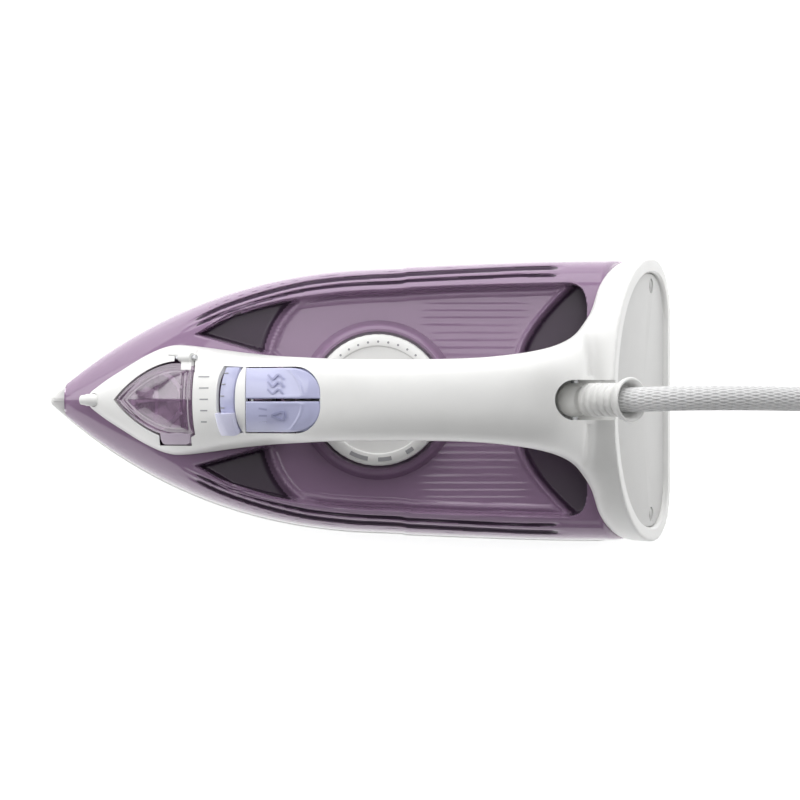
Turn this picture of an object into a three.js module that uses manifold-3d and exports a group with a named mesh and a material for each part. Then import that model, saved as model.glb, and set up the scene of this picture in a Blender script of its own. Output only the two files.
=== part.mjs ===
// Corded steam iron with an on-board water tank, lying on its soleplate.
// Millimetres, +Z up, nose towards -X, heel towards +X, origin at the middle of the footprint.
import * as THREE from "three";
import { mergeVertices } from "three/addons/utils/BufferGeometryUtils.js";
import Module from "manifold-3d";

const wasm = await Module();
wasm.setup();

// ---------------------------------------------------------------- driving dimensions
const GAP = 0.35; // clearance between neighbouring pieces
const NOSE_X = -140; // tip of the sole skirt
const HEEL_X = 140; // lowest edge of the leaning rear face
const HALF_WIDTH = 63.2; // widest point of the hull
const STRAIGHT_X = 20; // the nose curve ends here and the nearly straight flank begins
const STRAIGHT_HALF_WIDTH = 60.6;
const HULL_END_X = 112;

const SOLE_TOP_Z = 11; // aluminium casting
const SOLE_REAR_X = 116;
const SKIRT_Z = [11.4, 23.6];
const TANK_FLOOR_Z = [24, 27];
const TANK_Z = 27.4; // open lower rim of the tank shell
const TANK_NOSE_X = -134.5;
const TANK_REAR_X = 114.4;
const TANK_WALL = 2.2;
const DECK_Z = 56; // floor of the finger pocket, under the grip
const POCKET_INSET = 11.5; // shoulder of the tank, outside the pocket

const HEEL_BOTTOM_Z = 5;
const HEEL_LEAN = 0.326; // the rear face moves this far forward per mm of height
const HEEL_DEPTH = 17;
const COVER_WALL = 2.2;

const DIAL_CENTRE = [7.4, 0];
const DIAL_RADIUS = 29;
const DIAL_Z = [61, 71];

const BUTTON_X = [-49.6, -17];
const BUTTON_HALF_Y = 14.2;

const GUARD_PIVOT = new THREE.Vector3(92, 0, 107);
const GUARD_TILT = THREE.MathUtils.degToRad(46);
const CORD_RADIUS = 5.25;

const PLASTIC_WHITE = { color: 0xf3f3f1, roughness: 0.42, metalness: 0 };
const PLASTIC_GREY = { color: 0xc6c6c4, roughness: 0.5, metalness: 0 };
const PLASTIC_DARK = { color: 0x2b2b30, roughness: 0.6, metalness: 0 };
const TANK_VIOLET = { color: 0xa588a8, roughness: 0.12, metalness: 0, transparent: true, opacity: 0.7 };
const LAVENDER = { color: 0xbdbfdd, roughness: 0.32, metalness: 0 };
const STEEL = { color: 0xb9bcc0, roughness: 0.28, metalness: 1 };
const ALUMINIUM = { color: 0xc9cacc, roughness: 0.45, metalness: 1 };
const BRASS = { color: 0xb8923f, roughness: 0.35, metalness: 1 };
const RUBBER = { color: 0xe8e8e6, roughness: 0.8, metalness: 0 };
const SILICONE = { color: 0xd8d2c6, roughness: 0.6, metalness: 0 };
const TEXTILE = { color: 0xd9d9d8, roughness: 0.95, metalness: 0 };

// ---------------------------------------------------------------- solid helpers
function solid(geometry) {
  const bare = geometry.clone();
  bare.deleteAttribute("normal");
  bare.deleteAttribute("uv");
  const merged = mergeVertices(bare, 1e-3);
  const corners = merged.index.array;
  const kept = [];
  for (let i = 0; i < corners.length; i += 3) {
    const [a, b, c] = corners.slice(i, i + 3);
    if (a !== b && b !== c && c !== a) kept.push(a, b, c);
  }
  return new wasm.Manifold(
    new wasm.Mesh({
      numProp: 3,
      vertProperties: new Float32Array(merged.attributes.position.array),
      triVerts: new Uint32Array(kept),
    }),
  );
}

function geometryOf(manifold) {
  const mesh = manifold.getMesh();
  const geometry = new THREE.BufferGeometry();
  geometry.setAttribute("position", new THREE.BufferAttribute(mesh.vertProperties, 3));
  geometry.setIndex(new THREE.BufferAttribute(mesh.triVerts, 1));
  geometry.computeVertexNormals();
  return geometry;
}

function cut(base, ...tools) {
  return geometryOf(tools.reduce((rest, tool) => rest.subtract(solid(tool)), solid(base)));
}

function join(first, ...others) {
  return geometryOf(others.reduce((sum, other) => sum.add(solid(other)), solid(first)));
}

function common(a, b) {
  return geometryOf(solid(a).intersect(solid(b)));
}

// The biggest connected body of a geometry, without the slivers that a cut leaves.
function largest(geometry) {
  const bodies = solid(geometry).decompose();
  return geometryOf(bodies.reduce((best, body) => (body.volume() > best.volume() ? body : best)));
}

// A closed body through rings of equal point count, capped at both ends.
function loft(rings) {
  const count = rings[0].length;
  const positions = rings.flat().flatMap((p) => [p.x, p.y, p.z]);
  const centre = (ring) => ring.reduce((sum, p) => sum.add(p), new THREE.Vector3()).divideScalar(count);
  const first = centre(rings[0]);
  const last = centre(rings[rings.length - 1]);
  positions.push(first.x, first.y, first.z, last.x, last.y, last.z);
  const firstIndex = rings.length * count;
  const lastIndex = firstIndex + 1;
  const index = [];
  for (let i = 0; i < count; i++) {
    const next = (i + 1) % count;
    for (let k = 0; k + 1 < rings.length; k++) {
      const a = k * count + i;
      const b = k * count + next;
      index.push(a, b, a + count, b, b + count, a + count);
    }
    const end = (rings.length - 1) * count;
    index.push(firstIndex, next, i, lastIndex, end + i, end + next);
  }
  const geometry = new THREE.BufferGeometry();
  geometry.setAttribute("position", new THREE.Float32BufferAttribute(positions, 3));
  geometry.setIndex(index);
  geometry.computeVertexNormals();
  return geometry;
}

function prism(shape, z0, z1, curveSegments = 6) {
  const geometry = new THREE.ExtrudeGeometry(shape, { depth: z1 - z0, bevelEnabled: false, curveSegments });
  return geometry.translate(0, 0, z0);
}

function box(x0, x1, y0, y1, z0, z1) {
  const geometry = new THREE.BoxGeometry(x1 - x0, y1 - y0, z1 - z0);
  return geometry.translate((x0 + x1) / 2, (y0 + y1) / 2, (z0 + z1) / 2);
}

function turnTo(geometry, from, direction) {
  const turn = new THREE.Quaternion().setFromUnitVectors(
    new THREE.Vector3(0, 1, 0),
    direction.clone().normalize(),
  );
  return geometry.applyQuaternion(turn).translate(from.x, from.y, from.z);
}

// A round bar from one point to another.
function rod(from, to, radius, sides = 16, endRadius = radius) {
  const direction = to.clone().sub(from);
  const length = direction.length();
  const geometry = new THREE.CylinderGeometry(endRadius, radius, length, sides);
  return turnTo(geometry.translate(0, length / 2, 0), from, direction);
}

// A turned body: [radius, distance along the axis] pairs, starting and ending on the axis.
function turned(profile, from, direction, sides = 20) {
  const points = profile.map(([radius, along]) => new THREE.Vector2(radius, along));
  return turnTo(new THREE.LatheGeometry(points, sides), from, direction);
}

function ringSolid(inner, outer, z0, z1, x = 0, y = 0, sides = 32) {
  const profile = [[inner, z0], [outer, z0], [outer, z1], [inner, z1], [inner, z0]];
  return turned(profile, at(x, y, 0), UP, sides);
}

function at(x, y, z) {
  return new THREE.Vector3(x, y, z);
}

const UP = at(0, 0, 1);
const ALONG_X = at(1, 0, 0);
const ALONG_Y = at(0, 1, 0);

function circleShape(radius, sides) {
  const points = [];
  for (let i = 0; i < sides; i++) {
    const angle = (i / sides) * 2 * Math.PI;
    points.push(new THREE.Vector2(radius * Math.cos(angle), radius * Math.sin(angle)));
  }
  return new THREE.Shape(points);
}

function tube(points, radius, sides, steps) {
  const path = new THREE.CatmullRomCurve3(points, false, "centripetal");
  return new THREE.ExtrudeGeometry(circleShape(radius, sides), { steps, extrudePath: path,
    bevelEnabled: false });
}

// A smooth curve through [x, value] pairs, level beyond its ends.
function smoothTable(pairs) {
  return (x) => {
    const last = pairs.length - 1;
    if (x <= pairs[0][0]) return pairs[0][1];
    if (x >= pairs[last][0]) return pairs[last][1];
    const k = pairs.findIndex(([px]) => px > x) - 1;
    const slope = (i) => {
      const a = pairs[Math.max(i - 1, 0)];
      const b = pairs[Math.min(i + 1, last)];
      return (b[1] - a[1]) / (b[0] - a[0]);
    };
    const [x0, y0] = pairs[k];
    const [x1, y1] = pairs[k + 1];
    const width = x1 - x0;
    const t = (x - x0) / width;
    const rise = (2 * t ** 3 - 3 * t ** 2 + 1) * y0 + (3 * t ** 2 - 2 * t ** 3) * y1;
    const bend = (t ** 3 - 2 * t ** 2 + t) * slope(k) + (t ** 3 - t ** 2) * slope(k + 1);
    return rise + bend * width;
  };
}

const group = new THREE.Group();

function part(name, geometry, finish) {
  const mesh = new THREE.Mesh(geometry, new THREE.MeshStandardMaterial(finish));
  mesh.name = name;
  group.add(mesh);
  return mesh;
}

// ---------------------------------------------------------------- hull outline
const NOSE_CURVE = new THREE.CubicBezierCurve(
  new THREE.Vector2(NOSE_X + 1, 2.2),
  new THREE.Vector2(-66.7, 68.2),
  new THREE.Vector2(11.1, 57.55),
  new THREE.Vector2(STRAIGHT_X, STRAIGHT_HALF_WIDTH),
);
const NOSE_STEPS = 12;

function hullHalfWidth(x) {
  if (x >= STRAIGHT_X) {
    const share = Math.min((x - STRAIGHT_X) / (HULL_END_X - STRAIGHT_X), 1);
    return STRAIGHT_HALF_WIDTH + (HALF_WIDTH - STRAIGHT_HALF_WIDTH) * Math.sin((share * Math.PI) / 2);
  }
  let low = 0;
  let high = 1;
  for (let i = 0; i < 30; i++) {
    const middle = (low + high) / 2;
    if (NOSE_CURVE.getPoint(middle).x < x) low = middle;
    else high = middle;
  }
  return NOSE_CURVE.getPoint(low).y;
}

// The hull outline moved inwards, with a rounded tip and rounded rear corners.
function outline(inset, rearX, cornerRadius = 9) {
  const side = [];
  for (let i = 0; i <= NOSE_STEPS; i++) {
    const share = i / NOSE_STEPS;
    const point = NOSE_CURVE.getPoint(share);
    const tangent = NOSE_CURVE.getTangent(share);
    side.push(new THREE.Vector2(point.x + tangent.y * inset, point.y - tangent.x * inset));
  }
  const flank = side.filter((p) => p.y > 1.5);
  const rearHalf = hullHalfWidth(rearX) - inset;
  const tipX = flank[0].x - flank[0].y * 0.45;
  const shape = new THREE.Shape();
  shape.moveTo(tipX, 0);
  shape.quadraticCurveTo(tipX, -flank[0].y * 0.8, flank[0].x, -flank[0].y);
  flank.slice(1).forEach((p) => shape.lineTo(p.x, -p.y));
  shape.lineTo(rearX - cornerRadius, -rearHalf);
  shape.quadraticCurveTo(rearX, -rearHalf, rearX, -rearHalf + cornerRadius);
  shape.lineTo(rearX, rearHalf - cornerRadius);
  shape.quadraticCurveTo(rearX, rearHalf, rearX - cornerRadius, rearHalf);
  flank.slice(1).reverse().forEach((p) => shape.lineTo(p.x, p.y));
  shape.lineTo(flank[0].x, flank[0].y);
  shape.quadraticCurveTo(tipX, flank[0].y * 0.8, tipX, 0);
  return shape;
}

// ---------------------------------------------------------------- soleplate and what sits on it
const ELEMENT_RADIUS = 3.4;
const ELEMENT_Z = 6.6;
const ELEMENT_GROOVE_HALF = 4;
const ELEMENT_PATH = [
  [104, 26], [80, 27.5], [40, 27.5], [0, 26], [-40, 20], [-66, 11], [-75, 0],
  [-66, -11], [-40, -20], [0, -26], [40, -27.5], [80, -27.5], [104, -26],
].map(([x, y]) => at(x, y, ELEMENT_Z));
const CHAMBER_Z = [SOLE_TOP_Z + GAP, SOLE_TOP_Z + 2.2];
const THERMOSTAT = [DIAL_CENTRE[0], 0];
const SOLE_SCREWS = [[-100, 0], [98, 44], [98, -44]];
const VENT_RADIUS = 1.25;

function ventPlaces() {
  const places = [];
  for (let row = 0; row < 5; row++) {
    const x = -110 + row * 16;
    const y = hullHalfWidth(x) - 11 - row * 0.6;
    places.push([x, y], [x, -y]);
  }
  for (const x of [-20, 20]) places.push([x, 45], [x, -45], [x + 20, 39], [x + 20, -39]);
  return places;
}

function makeSoleplate() {
  const plate = prism(outline(0.4, SOLE_REAR_X, 12), 0, SOLE_TOP_Z);
  const drills = ventPlaces().map(([x, y]) => rod(at(x, y, -1), at(x, y, 3.5), VENT_RADIUS, 6));
  const groove = tube(
    ELEMENT_PATH.map((p) => at(p.x, p.y, ELEMENT_Z + 1.5)), ELEMENT_GROOVE_HALF + 1.5, 8, 28,
  );
  const bosses = SOLE_SCREWS.map(([x, y]) => rod(at(x, y, SOLE_TOP_Z - 1), at(x, y, SKIRT_Z[1] - 4), 5,
    12));
  const sockets = SOLE_SCREWS.map(([x, y]) => rod(at(x, y, SOLE_TOP_Z - 5), at(x, y, 40), 2.1, 10));
  const seat = ringSolid(0, 11, SOLE_TOP_Z - 1, SOLE_TOP_Z + 1.5, ...THERMOSTAT, 20);
  const body = join(cut(plate, ...drills, groove), ...bosses);
  return cut(join(body, seat), ...sockets);
}

function makeElement() {
  return tube(ELEMENT_PATH, ELEMENT_RADIUS, 8, 28);
}

function elementTerminal(side) {
  return rod(at(101, side * 26, ELEMENT_Z + ELEMENT_RADIUS + GAP), at(101, side * 26, 19), 1.4, 10);
}

// A pressed plate over the steam channels, between the two legs of the element.
function makeChamberCover() {
  const shape = new THREE.Shape();
  shape.moveTo(-58, 0);
  shape.quadraticCurveTo(-48, -12, 0, -17);
  shape.lineTo(84, -19);
  shape.lineTo(84, 19);
  shape.lineTo(0, 17);
  shape.quadraticCurveTo(-48, 12, -58, 0);
  const plate = prism(shape, ...CHAMBER_Z);
  const dialOpening = rod(at(...THERMOSTAT, 0), at(...THERMOSTAT, 40), 12, 20);
  const steamInlet = rod(at(VALVE_X, 0, 0), at(VALVE_X, 0, 40), 3.2, 12);
  return cut(plate, dialOpening, steamInlet);
}

const VALVE_X = -44;

function makeThermostat() {
  const base = ringSolid(0, 9.5, SOLE_TOP_Z + 1.9, 20, ...THERMOSTAT, 24);
  const tower = ringSolid(0, 5.5, 19, 30, ...THERMOSTAT, 20);
  const wings = box(THERMOSTAT[0] - 3.5, THERMOSTAT[0] + 3.5, -15, 15, 15, 16.2);
  const bore = rod(at(...THERMOSTAT, 22), at(...THERMOSTAT, 40), 2.4, 14);
  return cut(join(base, tower, wings), bore);
}

function makeFuse() {
  return turned(
    [[0, -9], [1.1, -9], [1.1, -6], [2.4, -5.5], [2.4, 5.5], [1.1, 6], [1.1, 9], [0, 9]],
    at(62, 0, CHAMBER_Z[1] + 3), ALONG_Y, 12,
  );
}

function makeFuseBracket() {
  const foot = box(56, 68, -3, 3, CHAMBER_Z[1] + GAP, CHAMBER_Z[1] + 6.4);
  return cut(foot, rod(at(62, -9, CHAMBER_Z[1] + 3), at(62, 9, CHAMBER_Z[1] + 3), 2.4 + GAP, 12));
}

// Heat shield between the hot sole and the tank: a shallow tray, closed above, open below.
const SKIRT_WALL = 2;
const SKIRT_REAR_X = 115.5;

function makeSkirt() {
  const outer = prism(outline(-0.3, SKIRT_REAR_X, 10), ...SKIRT_Z);
  const inner = prism(outline(SKIRT_WALL, SKIRT_REAR_X - SKIRT_WALL, 8), SKIRT_Z[0] - 1,
    SKIRT_Z[1] - SKIRT_WALL);
  const thermostatHole = rod(at(...THERMOSTAT, 0), at(...THERMOSTAT, 50), 7.5, 20);
  const valveHole = rod(at(VALVE_X, 0, 0), at(VALVE_X, 0, 50), 6, 16);
  const leadHole = box(70, 112, -7, 7, 15, 50);
  const screwHoles = SOLE_SCREWS.map(([x, y]) => rod(at(x, y, 0), at(x, y, 50), 2.4, 12));
  const leadGate = box(108, 125, -30, 30, 14, 20.5);
  return cut(outer, inner, thermostatHole, valveHole, leadHole, leadGate, ...screwHoles);
}

function soleScrew([x, y]) {
  return turned(
    [[0, 8], [1.8, 8], [1.8, SKIRT_Z[1] + GAP], [3.6, SKIRT_Z[1] + GAP], [3.6, 25.2], [2.6, 26], [0, 26]],
    at(x, y, 0), UP, 12,
  );
}

// ---------------------------------------------------------------- water tank
const tankCrown = smoothTable([
  [-134.5, 31], [-128, 36.5], [-118, 43.5], [-105, 51], [-90, 58.5], [-75, 64], [-55, 67.5], [-30, 69],
  [20, 70], [80, 70], [114.5, 68.5],
]);
const tankSquareness = smoothTable([[-134.5, 1.7], [-105, 2.1], [-75, 2.9], [-40, 3.8], [20, 4.4],
  [114.5, 4.6]]);
const TANK_STATIONS = [-131, -125, -116, -103, -88, -70, -50, -28, 0, 40, 80];
const TANK_ARC_STEPS = 14;

// The tank's rear wall leans forward like the heel behind it.
function rearLean(x, z) {
  const share = Math.max(0, (x - 60) / (TANK_REAR_X - 60));
  return HEEL_LEAN * (z - 32) * share;
}

// Half of a superellipse over a flat bottom: broad shoulders aft, a round nose forward.
function tankRing(x, inset, bottomZ) {
  const halfWidth = Math.max(hullHalfWidth(x) - 0.8 - inset, 0.8);
  const height = tankCrown(x) - inset - bottomZ;
  const power = 2 / tankSquareness(x);
  const ring = [];
  for (let i = 0; i <= TANK_ARC_STEPS; i++) {
    const angle = (i / TANK_ARC_STEPS) * Math.PI;
    const c = Math.cos(angle);
    const s = Math.sin(angle);
    const z = bottomZ + height * s ** power;
    ring.push(at(x - rearLean(x, z), halfWidth * Math.sign(c) * Math.abs(c) ** power, z));
  }
  return ring;
}

function tankLoft(inset, bottomZ) {
  const first = TANK_NOSE_X + inset * 1.6;
  const last = TANK_REAR_X - inset;
  const middle = TANK_STATIONS.filter((x) => x > first + 1 && x < last - 1);
  return loft([first, ...middle, last].map((x) => tankRing(x, inset, bottomZ)));
}

// Finger pocket sunk into the tank, one on each side of the handle pillar, joined under the grip.
const POCKET_REAR_X = 99;
function pocketShape(grow) {
  const inset = POCKET_INSET - grow;
  const edge = [-58, -40, -20, 0, 20, 50].map((x) => [x, hullHalfWidth(x) - inset]);
  const rearHalf = hullHalfWidth(80) - inset;
  const shape = new THREE.Shape();
  shape.moveTo(-34 - grow, -12);
  shape.lineTo(-43 - grow, -20.5);
  shape.lineTo(-73 - grow, -29 - grow);
  edge.forEach(([x, y]) => shape.lineTo(x, -y));
  shape.lineTo(POCKET_REAR_X - 12 + grow, -rearHalf);
  shape.quadraticCurveTo(POCKET_REAR_X + grow, -rearHalf, POCKET_REAR_X + grow, -rearHalf + 12);
  shape.lineTo(POCKET_REAR_X + grow, rearHalf - 12);
  shape.quadraticCurveTo(POCKET_REAR_X + grow, rearHalf, POCKET_REAR_X - 12 + grow, rearHalf);
  edge.reverse().forEach(([x, y]) => shape.lineTo(x, y));
  shape.lineTo(-73 - grow, 29 + grow);
  shape.lineTo(-43 - grow, 20.5);
  shape.lineTo(-34 - grow, 12);
  shape.closePath();
  return shape;
}

const FILLER = [-88, 0];
const FILLER_RADIUS = 12.5;

function makeTankShell() {
  const outer = tankLoft(0, TANK_Z);
  const pocket = prism(pocketShape(0), DECK_Z, 100);
  const inside = cut(tankLoft(TANK_WALL, TANK_Z - 6), prism(pocketShape(TANK_WALL), DECK_Z - TANK_WALL,
    110));
  const collar = ringSolid(DIAL_RADIUS + 1.2, DIAL_RADIUS + 4, DECK_Z - 1, DECK_Z + 6.5, ...DIAL_CENTRE,
    32);
  const spindleTower = ringSolid(0, 9, 30, DECK_Z - 1, ...THERMOSTAT, 20);
  const spindleBore = rod(at(...THERMOSTAT, 20), at(...THERMOSTAT, 80), 3.6, 14);
  const fillerHole = rod(at(...FILLER, 40), at(...FILLER, 90), FILLER_RADIUS, 28);
  const valveHole = rod(at(VALVE_X, 0, 50), at(VALVE_X, 0, 90), 6.6, 16);
  const body = cut(outer, pocket, inside);
  return cut(join(body, collar, spindleTower), spindleBore, fillerHole, valveHole);
}

const GASKET_Z = [TANK_FLOOR_Z[1] - 1.6, TANK_FLOOR_Z[1] + GAP - 0.1];

function makeTankFloor() {
  const plate = prism(outline(1.2, TANK_REAR_X - 0.5, 6), ...TANK_FLOOR_Z);
  const groove = cut(
    prism(outline(3.4, TANK_REAR_X - 3, 5), GASKET_Z[0] - GAP, 40),
    prism(outline(7, TANK_REAR_X - 7, 4), GASKET_Z[0] - 1, 41),
  );
  const spindle = rod(at(...THERMOSTAT, 0), at(...THERMOSTAT, 50), 9.4, 20);
  const valveHole = rod(at(VALVE_X, 0, 0), at(VALVE_X, 0, 50), 5.5, 16);
  const screwHeads = SOLE_SCREWS.map(([x, y]) => rod(at(x, y, 0), at(x, y, 50), 4.2, 12));
  const leadHole = box(78, 110, -6, 6, 0, 50);
  return cut(plate, groove, spindle, valveHole, leadHole, ...screwHeads);
}

function makeGasket() {
  return cut(
    prism(outline(3.8, TANK_REAR_X - 3.4, 5), ...GASKET_Z),
    prism(outline(6.6, TANK_REAR_X - 6.6, 4), GASKET_Z[0] - 1, 41),
  );
}

// ---------------------------------------------------------------- handle: nose, grip and rear pillar
const gripHalfWidth = smoothTable([
  [-121, 3.6], [-114, 8.8], [-107, 13.2], [-98, 18.6], [-90, 22.4], [-83, 24.3], [-76, 24.2], [-66, 22.9],
  [-52, 20.9], [-36, 19.2], [-18, 18], [0, 17.5], [30, 17.4], [50, 18], [66, 19.6], [78, 21.8], [86, 24.5],
  [94, 30], [100, 38],
]);
const gripTop = smoothTable([
  [-121, 46.5], [-116, 51], [-109, 57.5], [-100, 65.5], [-90, 75], [-82, 82.5], [-72, 91.5], [-62, 99.5],
  [-50, 109], [-36, 119.5], [-17, 131.5], [0, 139], [18, 144], [36, 146.3], [54, 146.6], [68, 144.5],
  [80, 139.5], [90, 130], [100, 114],
]);
const gripBottom = smoothTable([
  [-121, 34], [-40, 36], [-36.5, 40], [-33.5, 72], [-28, 89], [-20, 101], [-9, 109], [10, 115.5], [35, 119],
  [58, 118], [72, 112], [82, 101], [90, 84], [96, 66], [100, 56],
]);
const gripWaist = smoothTable([
  [-121, 37], [-100, 44], [-83, 52], [-60, 62], [-40, 76], [-28, 104], [-12, 117], [10, 126],
    [36, 131], [58, 130.5],
  [76, 122], [90, 100], [100, 74],
]);
const GRIP_STATIONS = [
  -121, -116, -109, -100, -91, -83, -75, -64, -52, -42, -36.5, -33.5, -29, -23, -14, 0, 20, 44, 62, 75,
    84, 92, 100,
];
const GRIP_ARC_STEPS = 14;
const CROWN_POWER = 2 / 2.5;

function gripRing(x, inset) {
  const halfWidth = Math.max(gripHalfWidth(x) - inset, 0.6);
  const waist = gripWaist(x);
  const above = Math.max(gripTop(x) - waist - inset, 0.5);
  const below = Math.max(waist - gripBottom(x) - inset, 0.5);
  const ring = [];
  for (let i = 0; i < GRIP_ARC_STEPS; i++) {
    const angle = (i / GRIP_ARC_STEPS) * 2 * Math.PI;
    const c = Math.cos(angle);
    const s = Math.sin(angle);
    const power = s >= 0 ? CROWN_POWER : 2 / 3.2;
    const y = halfWidth * Math.sign(c) * Math.abs(c) ** power;
    const z = waist + (s >= 0 ? above : below) * Math.sign(s) * Math.abs(s) ** power;
    ring.push(at(x, y, z));
  }
  return ring;
}

function gripLoft(inset, firstX = GRIP_STATIONS[0], lastX = 100) {
  const inner = GRIP_STATIONS.filter((x) => x > firstX + 1 && x < lastX - 1);
  return loft([firstX, ...inner, lastX].map((x) => gripRing(x, inset)));
}

// Height of the handle's upper surface over a point.
function gripSurface(x, y) {
  const share = Math.min(Math.abs(y) / gripHalfWidth(x), 1);
  const waist = gripWaist(x);
  return waist + (gripTop(x) - waist) * (1 - share ** 2.5) ** (1 / 2.5);
}

// A prism whose plan outline is met at the handle's sloping surface,
// with walls leaning square to the slope.
function slantedPrism(shape, slope, z0, z1, divisions = 6) {
  const points = shape.getPoints(divisions);
  const lifted = points.map((p) => new THREE.Vector2(p.x + slope * (gripSurface(p.x, p.y) - z0), p.y));
  const lean = new THREE.Matrix4().makeShear(0, 0, 0, 0, 0, 0);
  lean.elements[8] = -slope;
  lean.elements[12] = slope * z0;
  return prism(new THREE.Shape(lifted), z0, z1, divisions).applyMatrix4(lean);
}

// Rear face outline: flat foot, rounded lower corners, domed top.
function heelOutline(inset) {
  const right = new THREE.CurvePath();
  right.add(new THREE.LineCurve(new THREE.Vector2(0, 0), new THREE.Vector2(34, 0)));
  right.add(
    new THREE.CubicBezierCurve(
      new THREE.Vector2(34, 0), new THREE.Vector2(52, 0), new THREE.Vector2(HALF_WIDTH, 10),
      new THREE.Vector2(HALF_WIDTH, 30),
    ),
  );
  right.add(
    new THREE.CubicBezierCurve(
      new THREE.Vector2(HALF_WIDTH, 30), new THREE.Vector2(HALF_WIDTH, 62), new THREE.Vector2(41, 93.5),
      new THREE.Vector2(0, 93.5),
    ),
  );
  const points = [0, 0.999].map((t) => right.curves[0].getPoint(t));
  for (let i = 1; i <= 5; i++) points.push(right.curves[1].getPoint(i / 5));
  for (let i = 1; i <= 10; i++) points.push(right.curves[2].getPoint(i / 10));
  const middle = new THREE.Vector2(0, 42);
  const moved = points.map((p, i) => {
    const before = points[Math.max(i - 1, 0)];
    const after = points[Math.min(i + 1, points.length - 1)];
    const along = after.clone().sub(before).normalize();
    if (i === 0 || i === points.length - 1) along.set(i ? -1 : 1, 0);
    const inward = new THREE.Vector2(-along.y, along.x);
    if (inward.dot(middle.clone().sub(p)) < 0) inward.negate();
    return p.clone().addScaledVector(inward, inset);
  });
  const left = moved.slice(1, -1).reverse().map((p) => new THREE.Vector2(-p.x, p.y));
  return [...moved, ...left];
}

// The heel body between two depths measured forwards from the leaning rear face.
function heelLoft(inset, rearDepth, frontDepth) {
  const ringAt = (depth) =>
    heelOutline(inset).map((p) => at(HEEL_X - HEEL_LEAN * p.y - depth, p.x, HEEL_BOTTOM_Z + p.y));
  return loft([ringAt(frontDepth), ringAt(rearDepth)]);
}

const RIM_WIDTH = 6.3;
const SCREW_Y = 51;
const RIM_DEPTH = 3;
const SLOT_HALF = 8.6;
const SLOT_FRONT_X = 82.6;
const SLOT_FLOOR_Z = 96;
const PARTING_X = [-28.5, 79];

// Everything under the parting line of the grip.
function underGrip(shift) {
  const stations = [PARTING_X[0], -20, -8, 10, 35, 58, 70, PARTING_X[1]];
  const rings = stations.map((x, i) => {
    const end = i === 0 ? shift : i === stations.length - 1 ? -shift : 0;
    const z = gripBottom(x) + 0.42 * (gripWaist(x) - gripBottom(x)) - shift;
    return [at(x + end, 45, 40), at(x + end, 45, z), at(x + end, -45, z), at(x + end, -45, 40)];
  });
  return loft(rings);
}

function guardSlot() {
  const front = rod(at(SLOT_FRONT_X + SLOT_HALF, 0, SLOT_FLOOR_Z), at(SLOT_FRONT_X + SLOT_HALF, 0, 160),
    SLOT_HALF, 16);
  return join(front, box(SLOT_FRONT_X + SLOT_HALF, 140, -SLOT_HALF, SLOT_HALF, SLOT_FLOOR_Z, 160));
}

function slotWalls() {
  const centreX = SLOT_FRONT_X + SLOT_HALF;
  const liner = join(
    rod(at(centreX, 0, SLOT_FLOOR_Z + 2), at(centreX, 0, 160), SLOT_HALF + 1.6, 16),
    box(centreX, 103, -SLOT_HALF - 1.6, SLOT_HALF + 1.6, SLOT_FLOOR_Z + 2, 160),
  );
  return common(cut(liner, guardSlot(), underGrip(0)), gripLoft(0.6));
}

// Filler door in plan: pointed towards the nose, slightly hollow at the rear.
const DOOR_X = [-109, -72.4];
const DOOR_HALF = 16.7;
function doorShape(grow) {
  const shape = new THREE.Shape();
  shape.moveTo(DOOR_X[0] - grow * 1.6, 0);
  shape.bezierCurveTo(-104, -7 - grow, -92, -DOOR_HALF - grow, -80, -DOOR_HALF - grow);
  shape.quadraticCurveTo(-74.5, -DOOR_HALF - grow, DOOR_X[1] + grow, -DOOR_HALF + 2 - grow);
  shape.quadraticCurveTo(-74.6 + grow, 0, DOOR_X[1] + grow, DOOR_HALF - 2 + grow);
  shape.quadraticCurveTo(-74.5, DOOR_HALF + grow, -80, DOOR_HALF + grow);
  shape.bezierCurveTo(-92, DOOR_HALF + grow, -104, 7 + grow, DOOR_X[0] - grow * 1.6, 0);
  return shape;
}

const DOOR_SLOPE = THREE.MathUtils.degToRad(42.5);
const DOOR_AXIS = at(Math.cos(DOOR_SLOPE), 0, Math.sin(DOOR_SLOPE));
const DOOR_HINGE = at(-76, 18.6, 80.8);
const DOOR_LUG_HALF = 3.6;
const DOOR_PIN_HALF = 6;
const DOOR_THICKNESS = 2;
const DOOR_LEAN = Math.tan(DOOR_SLOPE);
const BUTTON_LEAN = 0.72;

function alongHinge(distance) {
  return DOOR_HINGE.clone().addScaledVector(DOOR_AXIS, distance);
}

function makeDoor() {
  const sheet = cut(gripLoft(0, -118, -60), gripLoft(DOOR_THICKNESS, -118, -60));
  const panel = common(sheet, slantedPrism(doorShape(-GAP), DOOR_LEAN, 45, 100));
  const lugRing = rod(alongHinge(-DOOR_LUG_HALF), alongHinge(DOOR_LUG_HALF), 2.1, 14);
  const bridge = common(sheet, box(-78.8, -73.4, 12, 18.4, 60, 110));
  const bore = rod(alongHinge(-9), alongHinge(9), 1 + GAP, 12);
  const tab = common(sheet, box(-86, -74, -19.6, -12, 50, 100));
  return cut(join(panel, bridge, tab, lugRing), bore);
}

// Buttons in plan: square at the hinged front edge, rounded at the back, split on the centreline.
function buttonShape(side, grow) {
  const [front, rear] = BUTTON_X;
  const inner = side * (0.25 - Math.min(grow, 0));
  const outer = side * (BUTTON_HALF_Y + grow);
  const shape = new THREE.Shape();
  shape.moveTo(front - grow, inner);
  shape.lineTo(front - grow, outer);
  shape.lineTo(rear - 11, outer);
  shape.bezierCurveTo(rear - 4 + grow, outer, rear + grow, side * 8, rear + grow, side * 3);
  shape.lineTo(rear + grow, inner);
  shape.closePath();
  return shape;
}

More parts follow.
